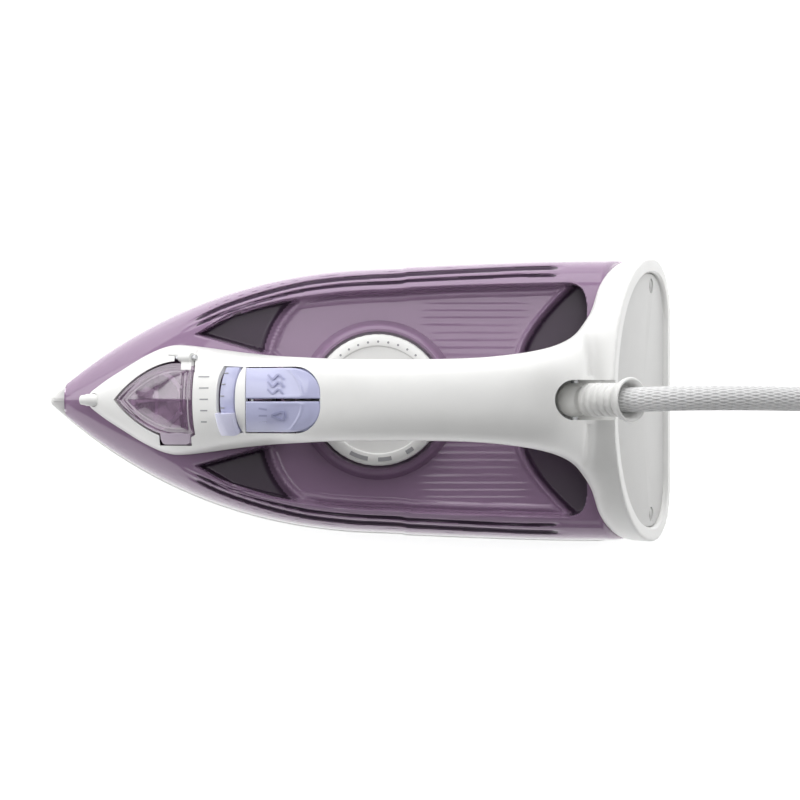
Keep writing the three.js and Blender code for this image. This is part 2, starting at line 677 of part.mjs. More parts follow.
function buttonSeam() {
  const [front, rear] = BUTTON_X;
  const shape = new THREE.Shape();
  shape.moveTo(front, -0.6);
  shape.lineTo(rear - 0.2, -0.6);
  shape.lineTo(rear - 0.2, 0.6);
  shape.lineTo(front, 0.6);
  shape.closePath();
  return shape;
}

const BUTTON_PIN = at(-46.6, 0, 106.6);
const BUTTON_THICKNESS = 2.6;
const PUMP_X = -31;
const PUMP_Y = 7.6;

function makeButton(side) {
  const sheet = cut(gripLoft(-0.3, -60, -8), gripLoft(BUTTON_THICKNESS, -60, -8));
  const cap = common(cut(sheet, underGrip(0)), slantedPrism(buttonShape(side, -GAP), BUTTON_LEAN, 98, 145));
  const lug = rod(at(BUTTON_PIN.x, side * 4, BUTTON_PIN.z), at(BUTTON_PIN.x, side * 8, BUTTON_PIN.z),
    2.4, 14);
  const web = box(BUTTON_PIN.x - 1.4, BUTTON_PIN.x + 1.4, side > 0 ? 4 : -8, side > 0 ? 8 : -4,
    BUTTON_PIN.z, 110.6);
  const bore = rod(at(BUTTON_PIN.x, -20, BUTTON_PIN.z), at(BUTTON_PIN.x, 20, BUTTON_PIN.z), 1 + GAP, 12);
  return largest(cut(join(cap, lug, common(web, gripLoft(1))), bore));
}

// ---------------------------------------------------------------- steam slider, swinging across the handle
const SLIDER_SLOPE = THREE.MathUtils.degToRad(38);
const SLIDER_AXIS = at(Math.cos(SLIDER_SLOPE), 0, Math.sin(SLIDER_SLOPE));
const SLIDER_NORMAL = at(-Math.sin(SLIDER_SLOPE), 0, Math.cos(SLIDER_SLOPE));
const SLIDER_TOP = at(-58.2, 0, 102.4);
const SLIDER_RADIUS = 25;
const SLIDER_CENTRE = SLIDER_TOP.clone().addScaledVector(SLIDER_NORMAL, -SLIDER_RADIUS);
const SLIDER_REST = THREE.MathUtils.degToRad(-23);

// A curved block round the slider's axis, between two radii, two angles and two distances along the axis.
function sector(r0, r1, angle0, angle1, a0, a1, steps = 8) {
  const rings = [];
  for (let i = 0; i <= steps; i++) {
    const angle = angle0 + ((angle1 - angle0) * i) / steps;
    const place = (along, radius) =>
      SLIDER_CENTRE.clone()
        .addScaledVector(SLIDER_AXIS, along)
        .addScaledVector(SLIDER_NORMAL, radius * Math.cos(angle))
        .addScaledVector(ALONG_Y, radius * Math.sin(angle));
    rings.push([place(a0, r0), place(a0, r1), place(a1, r1), place(a1, r0)]);
  }
  return loft(rings);
}

const deg = THREE.MathUtils.degToRad;
const SLOT_ALONG = 5.3;

function makeSlider() {
  const pad = sector(SLIDER_RADIUS + 0.2, SLIDER_RADIUS + 3, SLIDER_REST - deg(10.5),
    SLIDER_REST + deg(10.5), -4.9, 4.9);
  const narrow = [SLIDER_REST - deg(6), SLIDER_REST + deg(6)];
  const left = sector(19, SLIDER_RADIUS + 1, ...narrow, -4.9, -4.2, 2);
  const right = sector(19, SLIDER_RADIUS + 1, ...narrow, 4.2, 4.9, 2);
  const saddle = sector(19, 21, ...narrow, -4.9, 4.9, 2);
  const arm = sector(1.5, 20, SLIDER_REST - deg(2.6), SLIDER_REST + deg(2.6), -3, 3, 1);
  const place = (d) => SLIDER_CENTRE.clone().addScaledVector(SLIDER_AXIS, d);
  const hub = rod(place(-3), place(3), 3.2, 14);
  const bore = rod(place(-9), place(9), 1.2 + GAP, 12);
  return cut(join(pad, left, right, saddle, arm, hub), bore);
}

function makeSliderTrack() {
  return sector(SLIDER_RADIUS - 2.6, SLIDER_RADIUS - 0.4, deg(-35), deg(35), -3.8, 3.8, 12);
}

function makeSliderPin() {
  const place = (d) => SLIDER_CENTRE.clone().addScaledVector(SLIDER_AXIS, d);
  return rod(place(-6.5), place(6.5), 1.2, 12);
}

// ---------------------------------------------------------------- white cover, under-grip, rear panel
const NOZZLE_FROM = at(-116.5, 0, 47.4);
const NOZZLE_AIM = at(-1, 0, -0.22).normalize();

function makeCover() {
  const bosses = [-1, 1].map((side) => box(110, 124.5, side > 0 ? 47 : -62, side > 0 ? 62 : -47, 28, 36));
  const heel = cut(
    heelLoft(0, 0, HEEL_DEPTH),
    heelLoft(2.6, RIM_DEPTH, HEEL_DEPTH + 1),
    heelLoft(RIM_WIDTH, -1, RIM_DEPTH + 1),
  );
  const inside = gripLoft(COVER_WALL, -117, 99);
  const openRear = common(gripLoft(COVER_WALL, 80), heelLoft(2.6, 1, HEEL_DEPTH + 20));
  const grip = cut(gripLoft(0), inside, heelLoft(2.6, RIM_DEPTH, HEEL_DEPTH + 1), openRear);
  const tankBody = join(tankLoft(-2 * GAP, TANK_Z - 4), prism(outline(0.2, TANK_REAR_X - 8, 6), 20,
    TANK_Z + 6));
  const white = cut(
    join(grip, cut(heel, inside)), tankBody, prism(pocketShape(-0.2), DECK_Z - 1, 68), underGrip(0),
      guardSlot(),
    slantedPrism(doorShape(0.35), DOOR_LEAN, 45, 110),
    slantedPrism(buttonShape(1, 0.1), BUTTON_LEAN, 98, 145),
    slantedPrism(buttonShape(-1, 0.1), BUTTON_LEAN, 98, 145),
    slantedPrism(buttonSeam(), BUTTON_LEAN, 98, 145),
    sector(15, 34, deg(-37), deg(37), -SLOT_ALONG, SLOT_ALONG, 6),
    rod(NOZZLE_FROM, NOZZLE_FROM.clone().addScaledVector(NOZZLE_AIM, 12), 2.7 + GAP, 16),
    rod(alongHinge(-DOOR_LUG_HALF - GAP), alongHinge(DOOR_LUG_HALF + GAP), 2.2 + GAP, 14),
    rod(alongHinge(-DOOR_PIN_HALF - GAP), alongHinge(DOOR_PIN_HALF + GAP), 1 + GAP, 12),
    box(-88.8, -73.4, -20.2, -12, 60, 100),
    box(-81.6, -72.2, 12, 19.2, 70, 110),
  );
  const screwBores = [-1, 1].map((side) => rod(at(105, side * SCREW_Y, 32), at(130, side * SCREW_Y, 32),
    1.9, 10));
  const fitted = bosses.map((boss) => common(boss, heelLoft(0.5, RIM_DEPTH + 2.8, HEEL_DEPTH - 1)));
  const pinBore = rod(at(GUARD_PIVOT.x, -20, GUARD_PIVOT.z), at(GUARD_PIVOT.x, 20, GUARD_PIVOT.z),
    1.5 + GAP, 12);
  return cut(join(white, slotWalls(), ...fitted), ...screwBores, pinBore);
}

function makeUnderGrip() {
  const lower = common(gripLoft(0), underGrip(GAP));
  return cut(lower, gripLoft(COVER_WALL, PARTING_X[0] + 2.4, PARTING_X[1] - 2.4));
}

function makeRearPanel() {
  const plate = heelLoft(2.6 + GAP, RIM_DEPTH + GAP, RIM_DEPTH + 2.2);
  const face = heelLoft(RIM_WIDTH + GAP, RIM_DEPTH - 1.2, RIM_DEPTH + 1.5);
  const holes = [-1, 1].flatMap((side) => [
    rod(at(110, side * SCREW_Y, 32), at(140, side * SCREW_Y, 32), 2, 10),
    rod(at(127.4, side * SCREW_Y, 32), at(140, side * SCREW_Y, 32), 3.3, 12),
  ]);
  return cut(join(plate, face), ...holes, box(90, 140, -11, 11, 91, 130));
}

function rearScrew(side) {
  const profile = [[0, 0], [1.6, 0], [1.6, 11.2], [2.9, 11.2], [2.9, 12.2], [2, 12.8], [0, 12.8]];
  return turned(profile, at(116.6, side * SCREW_Y, 32), ALONG_X, 12);
}

// ---------------------------------------------------------------- filler well, nozzle, pins
function makeFillerWell() {
  const ring = ringSolid(FILLER_RADIUS - 2, FILLER_RADIUS - GAP, 54, 90, ...FILLER, 28);
  const cross = box(FILLER[0] - 11, FILLER[0] + 11, -0.7, 0.7, 52, 56);
  return common(join(ring, cross), gripLoft(4.2, -118, -60));
}

function makeNozzle() {
  const profile = [[0, -0.6], [2.2, -0.6], [2.7, 0], [2.7, 5], [2.3, 6], [2.1, 7.6], [1.5, 8.2],
    [0.7, 8.2], [0.5, 6], [0, 6]];
  return turned(profile, NOZZLE_FROM.clone().addScaledVector(NOZZLE_AIM, 0.6), NOZZLE_AIM, 16);
}

function makeDoorPin() {
  return rod(alongHinge(-DOOR_PIN_HALF), alongHinge(DOOR_PIN_HALF), 1, 12);
}

function crossPin(centre, halfLength, radius) {
  return rod(at(centre.x, -halfLength, centre.z), at(centre.x, halfLength, centre.z), radius, 12);
}

// ---------------------------------------------------------------- steam valve, pumps and hoses
const VALVE_BODY_Z = [14, 32];
const SPRING_SIDES = 5;

function spring(x, y, z0, z1, radius, wire, turns) {
  const points = [];
  const perTurn = 6;
  for (let i = 0; i <= turns * perTurn; i++) {
    const angle = (i / perTurn) * 2 * Math.PI;
    const share = i / (turns * perTurn);
    points.push(at(x + radius * Math.cos(angle), y + radius * Math.sin(angle),
      z0 + wire + (z1 - z0 - 2 * wire) * share));
  }
  return tube(points, wire, SPRING_SIDES, turns * 7);
}

function makeValveBody() {
  const profile = [
    [1.8, VALVE_BODY_Z[0]], [2.8, VALVE_BODY_Z[0]], [4.8, 18], [4.8, VALVE_BODY_Z[1]],
      [1.8, VALVE_BODY_Z[1]],
    [1.8, VALVE_BODY_Z[0]],
  ];
  return turned(profile, at(VALVE_X, 0, 0), UP, 16);
}

function makeNeedle() {
  const profile = [[0, 16], [1.3, 18], [1.3, 45], [3.6, 45], [3.6, 46.4], [1.3, 46.4], [1.3, 72.6],
    [2.2, 73.2], [0, 74.6]];
  return turned(profile, at(VALVE_X, 0, 0), UP, 14);
}

function makePumpBody(side) {
  return ringSolid(3.3, 5, 99.7, 106.7, PUMP_X, side * PUMP_Y, 14);
}

function makePlunger(side) {
  const profile = [[0, 102.5], [2.8, 102.5], [2.8, 109.9], [4.4, 109.9], [4.4, 110.9], [2.2, 110.9],
    [2.2, 115], [0, 115.6]];
  return turned(profile, at(PUMP_X, side * PUMP_Y, 0), UP, 16);
}

const SPRAY_HOSE = [
  [-36.8, -8.5, 104.6], [-43, -12, 99], [-52, -14.2, 88], [-64, -16.3, 76], [-78, -17.2, 67.5],
    [-85, -17, 63.5],
  [-92, -14.6, 60], [-98, -10.4, 57], [-104, -5.6, 54.6], [-110, -1.8, 51.2], [-114.6, 0, 47.9],
].map((p) => at(...p));
const BOOST_HOSE = [[-36.8, 8.5, 104.6], [-42, 12, 99], [-48, 13.8, 88], [-50, 13, 78],
  [-50, 12, 70.4]].map((p) => at(...p));

// ---------------------------------------------------------------- temperature dial
function makeDial() {
  const [low, high] = DIAL_Z;
  const profile = [
    [0, low], [DIAL_RADIUS - 1.6, low], [DIAL_RADIUS, low + 1.6], [DIAL_RADIUS, high - 2.2],
    [DIAL_RADIUS - 1.6, high - 0.6], [DIAL_RADIUS - 4.6, high], [DIAL_RADIUS - 5.4, high - 1],
      [0, high - 1],
  ];
  const disc = turned(profile, at(...DIAL_CENTRE, 0), UP, 36);
  const pointer = box(DIAL_CENTRE[0] - 1.2, DIAL_CENTRE[0] + 1.2, 12, DIAL_RADIUS - 6, high - 1.2, high);
  const socket = rod(at(...DIAL_CENTRE, low - 1), at(...DIAL_CENTRE, low + 5), 2.35, 14);
  return cut(join(disc, pointer), socket);
}

function makeSpindle() {
  return rod(at(...DIAL_CENTRE, 22.6), at(...DIAL_CENTRE, DIAL_Z[0] + 4.6), 2, 12);
}

// ---------------------------------------------------------------- wiring inside the heel
const LEAN_ANGLE = Math.atan(HEEL_LEAN);

function leaningBox(x, z, width, depth, height) {
  const geometry = new THREE.BoxGeometry(depth, width, height);
  return geometry.rotateY(-LEAN_ANGLE).translate(x, 0, z);
}

function makeTerminalBlock() {
  const block = leaningBox(117.2, 41, 34, 7, 17);
  const wells = [-10, 0, 10].map((y) => rod(at(110, y, 41 - 2), at(124, y, 41 + 2.6), 2.4, 8));
  return cut(block, ...wells.map((well) => common(well, leaningBox(121.5, 42.4, 34, 6, 30))));
}

function makeCordClamp() {
  const bar = leaningBox(115.1, 57.4, 26, 3.4, 6);
  const seat = rod(at(112.8, 0, 50), at(108, 0, 66), 3.9, 12);
  return cut(bar, seat);
}

const INNER_CORD = [[92.4, 0, 98.6], [93.4, 0, 91], [98.4, 0, 82], [105, 0, 73.6], [109, 0, 65],
  [110.4, 0, 57.4], [111.8, 0, 52.4]]
  .map((p) => at(...p));
const LEADS = {
  lead_live: [[120, 10, 31.2], [120.6, 11, 25], [119, 14, 18.5], [112, 20, 16.8], [104, 25.4, 17]],
  lead_neutral: [[120, -10, 31.2], [120.6, -11, 25], [119, -14, 18.5], [112, -20, 16.8], [104, -25.4, 17]],
  lead_earth: [[120, 0, 31.2], [120.6, 0, 25], [118, 0, 18.5], [110, 0, 16.5], [100, 0, 14.6],
    [93, 0, 13.2]],
};

// ---------------------------------------------------------------- cord guard
const GUARD_AXIS = at(Math.cos(GUARD_TILT), 0, Math.sin(GUARD_TILT));
const GUARD_BALL = 7.5;
const GUARD_BUSH = 7.2;
const GUARD_RIBS = 5;
const GUARD_SIDES = 14;
const GUARD_RIB_START = 8;
const GUARD_RIB_PITCH = 3.9;
const GUARD_MOUTH = 34;

function makeGuard() {
  const profile = [[0, -GUARD_BALL]];
  for (let i = 1; i <= 4; i++) {
    const angle = (i / 4) * THREE.MathUtils.degToRad(132);
    profile.push([GUARD_BALL * Math.sin(angle), -GUARD_BALL * Math.cos(angle)]);
  }
  for (let i = 0; i < GUARD_RIBS; i++) {
    const start = GUARD_RIB_START + i * GUARD_RIB_PITCH;
    profile.push([GUARD_BUSH - 0.8, start], [GUARD_BUSH, start + 0.5], [GUARD_BUSH, start + 2.9]);
  }
  profile.push([GUARD_BUSH, 28], [9.2, 31.2], [9.8, GUARD_MOUTH - 0.8], [9.3, GUARD_MOUTH]);
  profile.push([8.4, GUARD_MOUTH], [7.2, 30.5], [6.6, 27], [0, 27]);
  const body = turned(profile, GUARD_PIVOT, GUARD_AXIS, GUARD_SIDES);
  return cut(body, crossPin(GUARD_PIVOT, 12, 1.5 + GAP));
}

// ---------------------------------------------------------------- mains cord, coil and plug
const CORD_EXIT = GUARD_PIVOT.clone().addScaledVector(GUARD_AXIS, 27.4);
const CORD_ROUTE = [
  [115.4, 0.1, 131], [120.2, 0.3, 135.4], [127.5, 0.5, 140], [137, 0.7, 143], [148, 0.8, 143.9],
  [160, 0.8, 142.3], [173, 0.7, 137.6], [185.6, 0.5, 129.8], [197, 0.4, 119], [207, 0.3, 106],
  [215.6, 0.5, 91.4], [223.4, 1, 76], [231.4, 2.2, 60], [240.4, 4.6, 44.4], [251.6, 8.6, 30],
  [265.6, 15, 17.6], [282, 23.5, 9.4], [300, 33.2, 5.9], [320, 44, 5.3], [345, 54.2, 5.3], [365, 58.3, 5.3],
].map((p) => at(...p));
const COIL_CENTRE = [385, -4];
const COIL_RADII = [63, 52.5, 42];
const LAYER_Z = [5.3, 15.8];
const COIL_SOLID = [COIL_RADII[2] - 5.7, COIL_RADII[0] + 5.7, 0, 21.4];
const TAIL_Y = COIL_CENTRE[1] - COIL_RADII[1];
const TAIL = [[328, 15.4], [314, 12.6], [301, 8.2], [288, 5.6], [276.4, 5.4]].map(([x, z]) => at(x, TAIL_Y, z));
const PLUG_REAR_X = 276;
const PLUG_FACE_X = 232;
const PLUG_Z = 9;

function coilSolid(grow) {
  const [inner, outer, low, high] = COIL_SOLID;
  return ringSolid(inner - grow, outer + grow, low - grow, high + grow, ...COIL_CENTRE, 40);
}

function makeCordRun() {
  const route = [CORD_EXIT, ...CORD_ROUTE, at(COIL_CENTRE[0] - 4, COIL_CENTRE[1] + COIL_RADII[0], LAYER_Z[0])];
  return cut(tube(route, CORD_RADIUS, 8, 40), coilSolid(GAP));
}

function makeCordTail() {
  const route = [at(COIL_CENTRE[0] - 34, TAIL_Y, LAYER_Z[1]), ...TAIL];
  return cut(tube(route, CORD_RADIUS, 8, 8), coilSolid(GAP));
}

function makeCordTie() {
  const [inner, outer, , high] = COIL_SOLID;
  const [x, y] = COIL_CENTRE;
  const strap = box(x + inner - 1.8, x + outer + 1.8, y - 7, y + 7, 0.2, high + 1.8);
  return cut(strap, box(x + inner - GAP, x + outer + GAP, y - 9, y + 9, -5, high + GAP), coilSolid(GAP));
}

// A moulded plug: a round neck that widens into a flat hexagonal face.
function makePlug() {
  const stations = [[PLUG_REAR_X, 6.4, 5.2], [268, 8.2, 6.4], [258, 12, 8.2], [250, 16, 8.8],
    [238, 17.4, 8.8], [PLUG_FACE_X, 17, 8.4]];
  const rings = stations.map(([x, halfWidth, halfHeight]) => {
    const ring = [];
    for (let i = 0; i < 16; i++) {
      const angle = -(i / 16) * 2 * Math.PI;
      const c = Math.cos(angle);
      const s = Math.sin(angle);
      const y = halfWidth * Math.sign(c) * Math.abs(c) ** 0.75;
      ring.push(at(x, TAIL_Y + y, PLUG_Z + halfHeight * Math.sign(s) * Math.abs(s) ** 0.75));
    }
    return ring;
  });
  return loft(rings);
}

function plugPin(y, z) {
  return rod(at(PLUG_FACE_X - GAP, TAIL_Y + y, PLUG_Z + z), at(PLUG_FACE_X - 19, TAIL_Y + y, PLUG_Z + z),
    2.2, 12);
}

// ---------------------------------------------------------------- assembly
part("soleplate", makeSoleplate(), ALUMINIUM);
part("heating_element", makeElement(), STEEL);
part("element_terminal_left", elementTerminal(1), BRASS);
part("element_terminal_right", elementTerminal(-1), BRASS);
part("steam_chamber_cover", makeChamberCover(), STEEL);
part("thermostat", makeThermostat(), SILICONE);
part("thermal_fuse", makeFuse(), SILICONE);
part("fuse_bracket", makeFuseBracket(), STEEL);
part("sole_skirt", makeSkirt(), PLASTIC_WHITE);
SOLE_SCREWS.forEach((place, i) => part(`sole_screw_${["nose", "left", "right"][i]}`, soleScrew(place),
  STEEL));
part("tank_floor", makeTankFloor(), TANK_VIOLET);
part("tank_gasket", makeGasket(), SILICONE);
part("tank_shell", makeTankShell(), TANK_VIOLET);
part("filler_well", makeFillerWell(), TANK_VIOLET);
part("filler_door", makeDoor(), TANK_VIOLET);
part("door_hinge_pin", makeDoorPin(), STEEL);
part("handle_cover", makeCover(), PLASTIC_WHITE);
part("under_grip", makeUnderGrip(), PLASTIC_GREY);
part("rear_panel", makeRearPanel(), PLASTIC_GREY);
part("rear_screw_left", rearScrew(1), STEEL);
part("rear_screw_right", rearScrew(-1), STEEL);
part("spray_nozzle", makeNozzle(), PLASTIC_WHITE);
part("steam_boost_button", makeButton(1), LAVENDER);
part("spray_button", makeButton(-1), LAVENDER);
part("button_hinge_pin", crossPin(BUTTON_PIN, 11, 1), STEEL);
part("slider_track", makeSliderTrack(), LAVENDER);
part("steam_slider", makeSlider(), LAVENDER);
part("slider_pivot_pin", makeSliderPin(), STEEL);
part("steam_valve_body", makeValveBody(), BRASS);
part("valve_needle", makeNeedle(), STEEL);
part("valve_spring", spring(VALVE_X, 0, VALVE_BODY_Z[1] + GAP, 44, 3, 0.45, 5), STEEL);
for (const [name, side] of [["boost", 1], ["spray", -1]]) {
  part(`${name}_pump_body`, makePumpBody(side), PLASTIC_GREY);
  part(`${name}_plunger`, makePlunger(side), SILICONE);
  part(`${name}_return_spring`, spring(PUMP_X, side * PUMP_Y, 107, 109.6, 3.8, 0.3, 2), STEEL);
}
part("spray_hose", tube(SPRAY_HOSE, 1.5, 6, 24), SILICONE);
part("boost_hose", tube(BOOST_HOSE, 1.5, 6, 12), SILICONE);
part("temperature_dial", makeDial(), PLASTIC_WHITE);
part("dial_spindle", makeSpindle(), BRASS);
part("terminal_block", makeTerminalBlock(), PLASTIC_DARK);
part("cord_clamp", makeCordClamp(), PLASTIC_DARK);
part("inner_cord", tube(INNER_CORD, 3.5, 8, 14), TEXTILE);
Object.entries(LEADS).forEach(([name, points]) => part(name, tube(points.map((p) => at(...p)), 1.1, 6,
  14), SILICONE));
part("cord_guard", makeGuard(), RUBBER);
part("guard_pivot_pin", crossPin(GUARD_PIVOT, 13, 1.5), STEEL);
part("mains_cord", makeCordRun(), TEXTILE);
part("cord_coil", coilSolid(0), TEXTILE);
part("cord_tail", makeCordTail(), TEXTILE);
part("cord_tie", makeCordTie(), PLASTIC_DARK);
part("mains_plug", makePlug(), PLASTIC_WHITE);
part("plug_pin_live", plugPin(9.5, -1), BRASS);
part("plug_pin_neutral", plugPin(-9.5, -1), BRASS);
part("plug_pin_earth", plugPin(0, 2.6), BRASS);

export default group;
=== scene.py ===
"""Looks of the steam iron: camera, cord, light, then each visible piece, in metres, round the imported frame."""
import math

import bmesh
import bpy
import numpy as np
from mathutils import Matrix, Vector


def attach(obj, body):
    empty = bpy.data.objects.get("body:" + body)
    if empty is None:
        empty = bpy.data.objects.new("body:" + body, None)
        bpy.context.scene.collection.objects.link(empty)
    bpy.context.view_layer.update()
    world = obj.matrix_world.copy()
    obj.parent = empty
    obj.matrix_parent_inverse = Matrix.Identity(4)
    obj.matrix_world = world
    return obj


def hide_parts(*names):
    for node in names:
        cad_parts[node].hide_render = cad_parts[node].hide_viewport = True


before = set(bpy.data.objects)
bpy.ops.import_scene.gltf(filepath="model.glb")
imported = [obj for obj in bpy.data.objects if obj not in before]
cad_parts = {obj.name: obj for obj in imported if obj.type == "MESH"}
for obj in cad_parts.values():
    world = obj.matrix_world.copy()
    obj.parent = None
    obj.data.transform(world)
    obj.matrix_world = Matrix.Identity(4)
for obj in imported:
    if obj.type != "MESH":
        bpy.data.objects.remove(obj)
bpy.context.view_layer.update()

MM = 0.001  # every shape below is written in millimetres

# ------------------------------------------------------------------ camera
VIEW_CENTRE_X = 17 * MM
VIEW_WIDTH = 363.6 * MM  # what the picture takes in at the height of the floor
CAMERA_HEIGHT = 2.0
SENSOR = 36.0

camera_data = bpy.data.cameras.new("camera")
camera_data.sensor_width = SENSOR
camera_data.lens = SENSOR * CAMERA_HEIGHT / VIEW_WIDTH
camera_data.clip_end = 20
camera = bpy.data.objects.new("camera", camera_data)
camera.location = (VIEW_CENTRE_X, 0, CAMERA_HEIGHT)
bpy.context.scene.collection.objects.link(camera)
bpy.context.scene.camera = camera


# ------------------------------------------------------------------ materials
COAT_ROUGHNESS = 0.06
BLOTCH_SCALE = 0.04  # the uneven patches are this much coarser than the grain


def material(name, base, roughness, metallic=0.0, coat=0.0, sheen=0.0, transmission=0.0, ior=1.5):
    """A finish, as its material, node tree and shader."""
    made = bpy.data.materials.new(name)
    made.use_nodes = True
    shader = made.node_tree.nodes["Principled BSDF"]
    values = {
        "Base Color": (*base, 1), "Roughness": roughness, "Metallic": metallic, "IOR": ior, "Coat Weight": coat,
        "Coat Roughness": COAT_ROUGHNESS, "Sheen Weight": sheen, "Transmission Weight": transmission,
    }
    for socket, value in values.items():
        shader.inputs[socket].default_value = value
    return made, made.node_tree, shader


def node(tree, kind, **values):
    """A shader node, with each value put on the socket or the setting of that name."""
    made = tree.nodes.new(kind)
    for key, value in values.items():
        if key in made.inputs:
            made.inputs[key].default_value = value
        else:
            setattr(made, key, value)
    return made


def colour_ramp(tree, *stops):
    ramp = node(tree, "ShaderNodeValToRGB")
    for element, (position, colour) in zip(ramp.color_ramp.elements, stops):
        element.position = position
        element.color = (*colour, 1)
    return ramp


def grain(made, scale, strength, distance, tint, rough, stretch=(1, 1, 1)):
    """Fine moulded grain: bump, and a little unevenness of colour and roughness."""
    material_, tree, shader = made
    link_ = tree.links.new
    place = node(tree, "ShaderNodeTexCoord")
    mapping = node(tree, "ShaderNodeMapping", Scale=stretch)
    noise = node(tree, "ShaderNodeTexNoise", Scale=scale, Detail=6.0, Roughness=0.6)
    bump = node(tree, "ShaderNodeBump", Strength=strength, Distance=distance)
    link_(place.outputs["Object"], mapping.inputs["Vector"])
    link_(mapping.outputs["Vector"], noise.inputs["Vector"])
    link_(noise.outputs["Fac"], bump.inputs["Height"])
    link_(bump.outputs["Normal"], shader.inputs["Normal"])
    blotch = node(tree, "ShaderNodeTexNoise", Scale=scale * BLOTCH_SCALE, Detail=4.0)
    link_(mapping.outputs["Vector"], blotch.inputs["Vector"])
    base = tuple(shader.inputs["Base Color"].default_value)[:3]
    darker, lighter = [c * (1 - tint) for c in base], [min(c * (1 + tint), 1) for c in base]
    ramp = colour_ramp(tree, (0.3, darker), (0.7, lighter))
    link_(blotch.outputs["Fac"], ramp.inputs["Fac"])
    link_(ramp.outputs["Color"], shader.inputs["Base Color"])
    level = shader.inputs["Roughness"].default_value
    spread = node(tree, "ShaderNodeMapRange")
    spread.inputs["To Min"].default_value = max(level - rough, 0.02)
    spread.inputs["To Max"].default_value = level + rough
    link_(blotch.outputs["Fac"], spread.inputs["Value"])
    link_(spread.outputs["Result"], shader.inputs["Roughness"])
    return material_


# After each material come its grain's scale, strength and depth, and how uneven its colour and roughness are.
WHITE = grain(material("white_plastic", (0.86, 0.86, 0.845), 0.36, coat=0.15), 2600, 0.10, 0.0002, 0.012, 0.04)
# A grey darker than the white plastic: painted shade of the rear face, which turns away from the light.
REAR_SHADE_GREY = grain(material("grey_painted_shade", (0.66, 0.66, 0.65), 0.42), 2400, 0.14, 0.0002, 0.015, 0.05)
LAVENDER = grain(
    material("lavender_plastic", (0.50, 0.51, 0.72), 0.26, coat=0.3), 2200, 0.06, 0.0002, 0.02, 0.03,
)
KNOB = grain(material("slider_plastic", (0.70, 0.70, 0.88), 0.24, coat=0.3), 2200, 0.05, 0.0002, 0.01, 0.03)
VIOLET = grain(
    material("violet_tank", (0.45, 0.30, 0.46), 0.06, coat=0.3, transmission=0.35),
    60, 0.02, 0.0004, 0.03, 0.015,
)
VIOLET_CLEAR = grain(
    material("violet_door", (0.62, 0.42, 0.62), 0.03, coat=1.0, transmission=0.8, ior=1.75),
    60, 0.015, 0.0003, 0.03, 0.01,
)
WELL = grain(material("well_plastic", (0.74, 0.70, 0.76), 0.25, coat=0.2), 600, 0.05, 0.0003, 0.02, 0.03)
# Nearly black violet: painted shade at the bottoms of the tank's grooves and recesses, and on the tank's floor
# inside.
VIOLET_SHADE = grain(
    material("violet_painted_shade", (0.06, 0.035, 0.065), 0.3, coat=0.05), 300, 0.05, 0.0003, 0.04, 0.04,
)
SOLE = grain(
    material("sole_metal", (0.72, 0.73, 0.74), 0.24, metallic=1.0),
    900, 0.12, 0.0002, 0.03, 0.06, stretch=(0.05, 1, 1),
)
STEEL = grain(material("steel", (0.62, 0.63, 0.65), 0.3, metallic=1.0), 1500, 0.1, 0.0002, 0.04, 0.07)
BRASS = grain(material("brass", (0.66, 0.48, 0.19), 0.3, metallic=1.0), 1200, 0.1, 0.0002, 0.05, 0.06)
CERAMIC = grain(material("ceramic", (0.78, 0.75, 0.67), 0.65), 1800, 0.3, 0.0003, 0.04, 0.05)
SILICONE = grain(material("silicone", (0.72, 0.70, 0.63), 0.5, transmission=0.1), 900, 0.1, 0.0002, 0.03, 0.05)
DARK = grain(material("dark_plastic", (0.03, 0.03, 0.035), 0.5), 2000, 0.2, 0.0002, 0.1, 0.08)
GUARD_RUBBER = grain(
    material("guard_rubber", (0.80, 0.80, 0.785), 0.42, sheen=0.05), 1600, 0.12, 0.0002, 0.015, 0.05,
)
TAB_MAUVE = grain(material("mauve_tab", (0.50, 0.41, 0.52), 0.3), 900, 0.06, 0.0002, 0.02, 0.03)
# A darker lavender for the keys' engraved icons: painted shade in the engraving.
ENGRAVING_SHADE = grain(material("engraving_painted_shade", (0.33, 0.34, 0.52), 0.35), 2000, 0.05, 0.0001, 0.02, 0.03)
PRINT = grain(material("print_grey", (0.33, 0.33, 0.345), 0.45), 2000, 0.05, 0.0001, 0.03, 0.03)


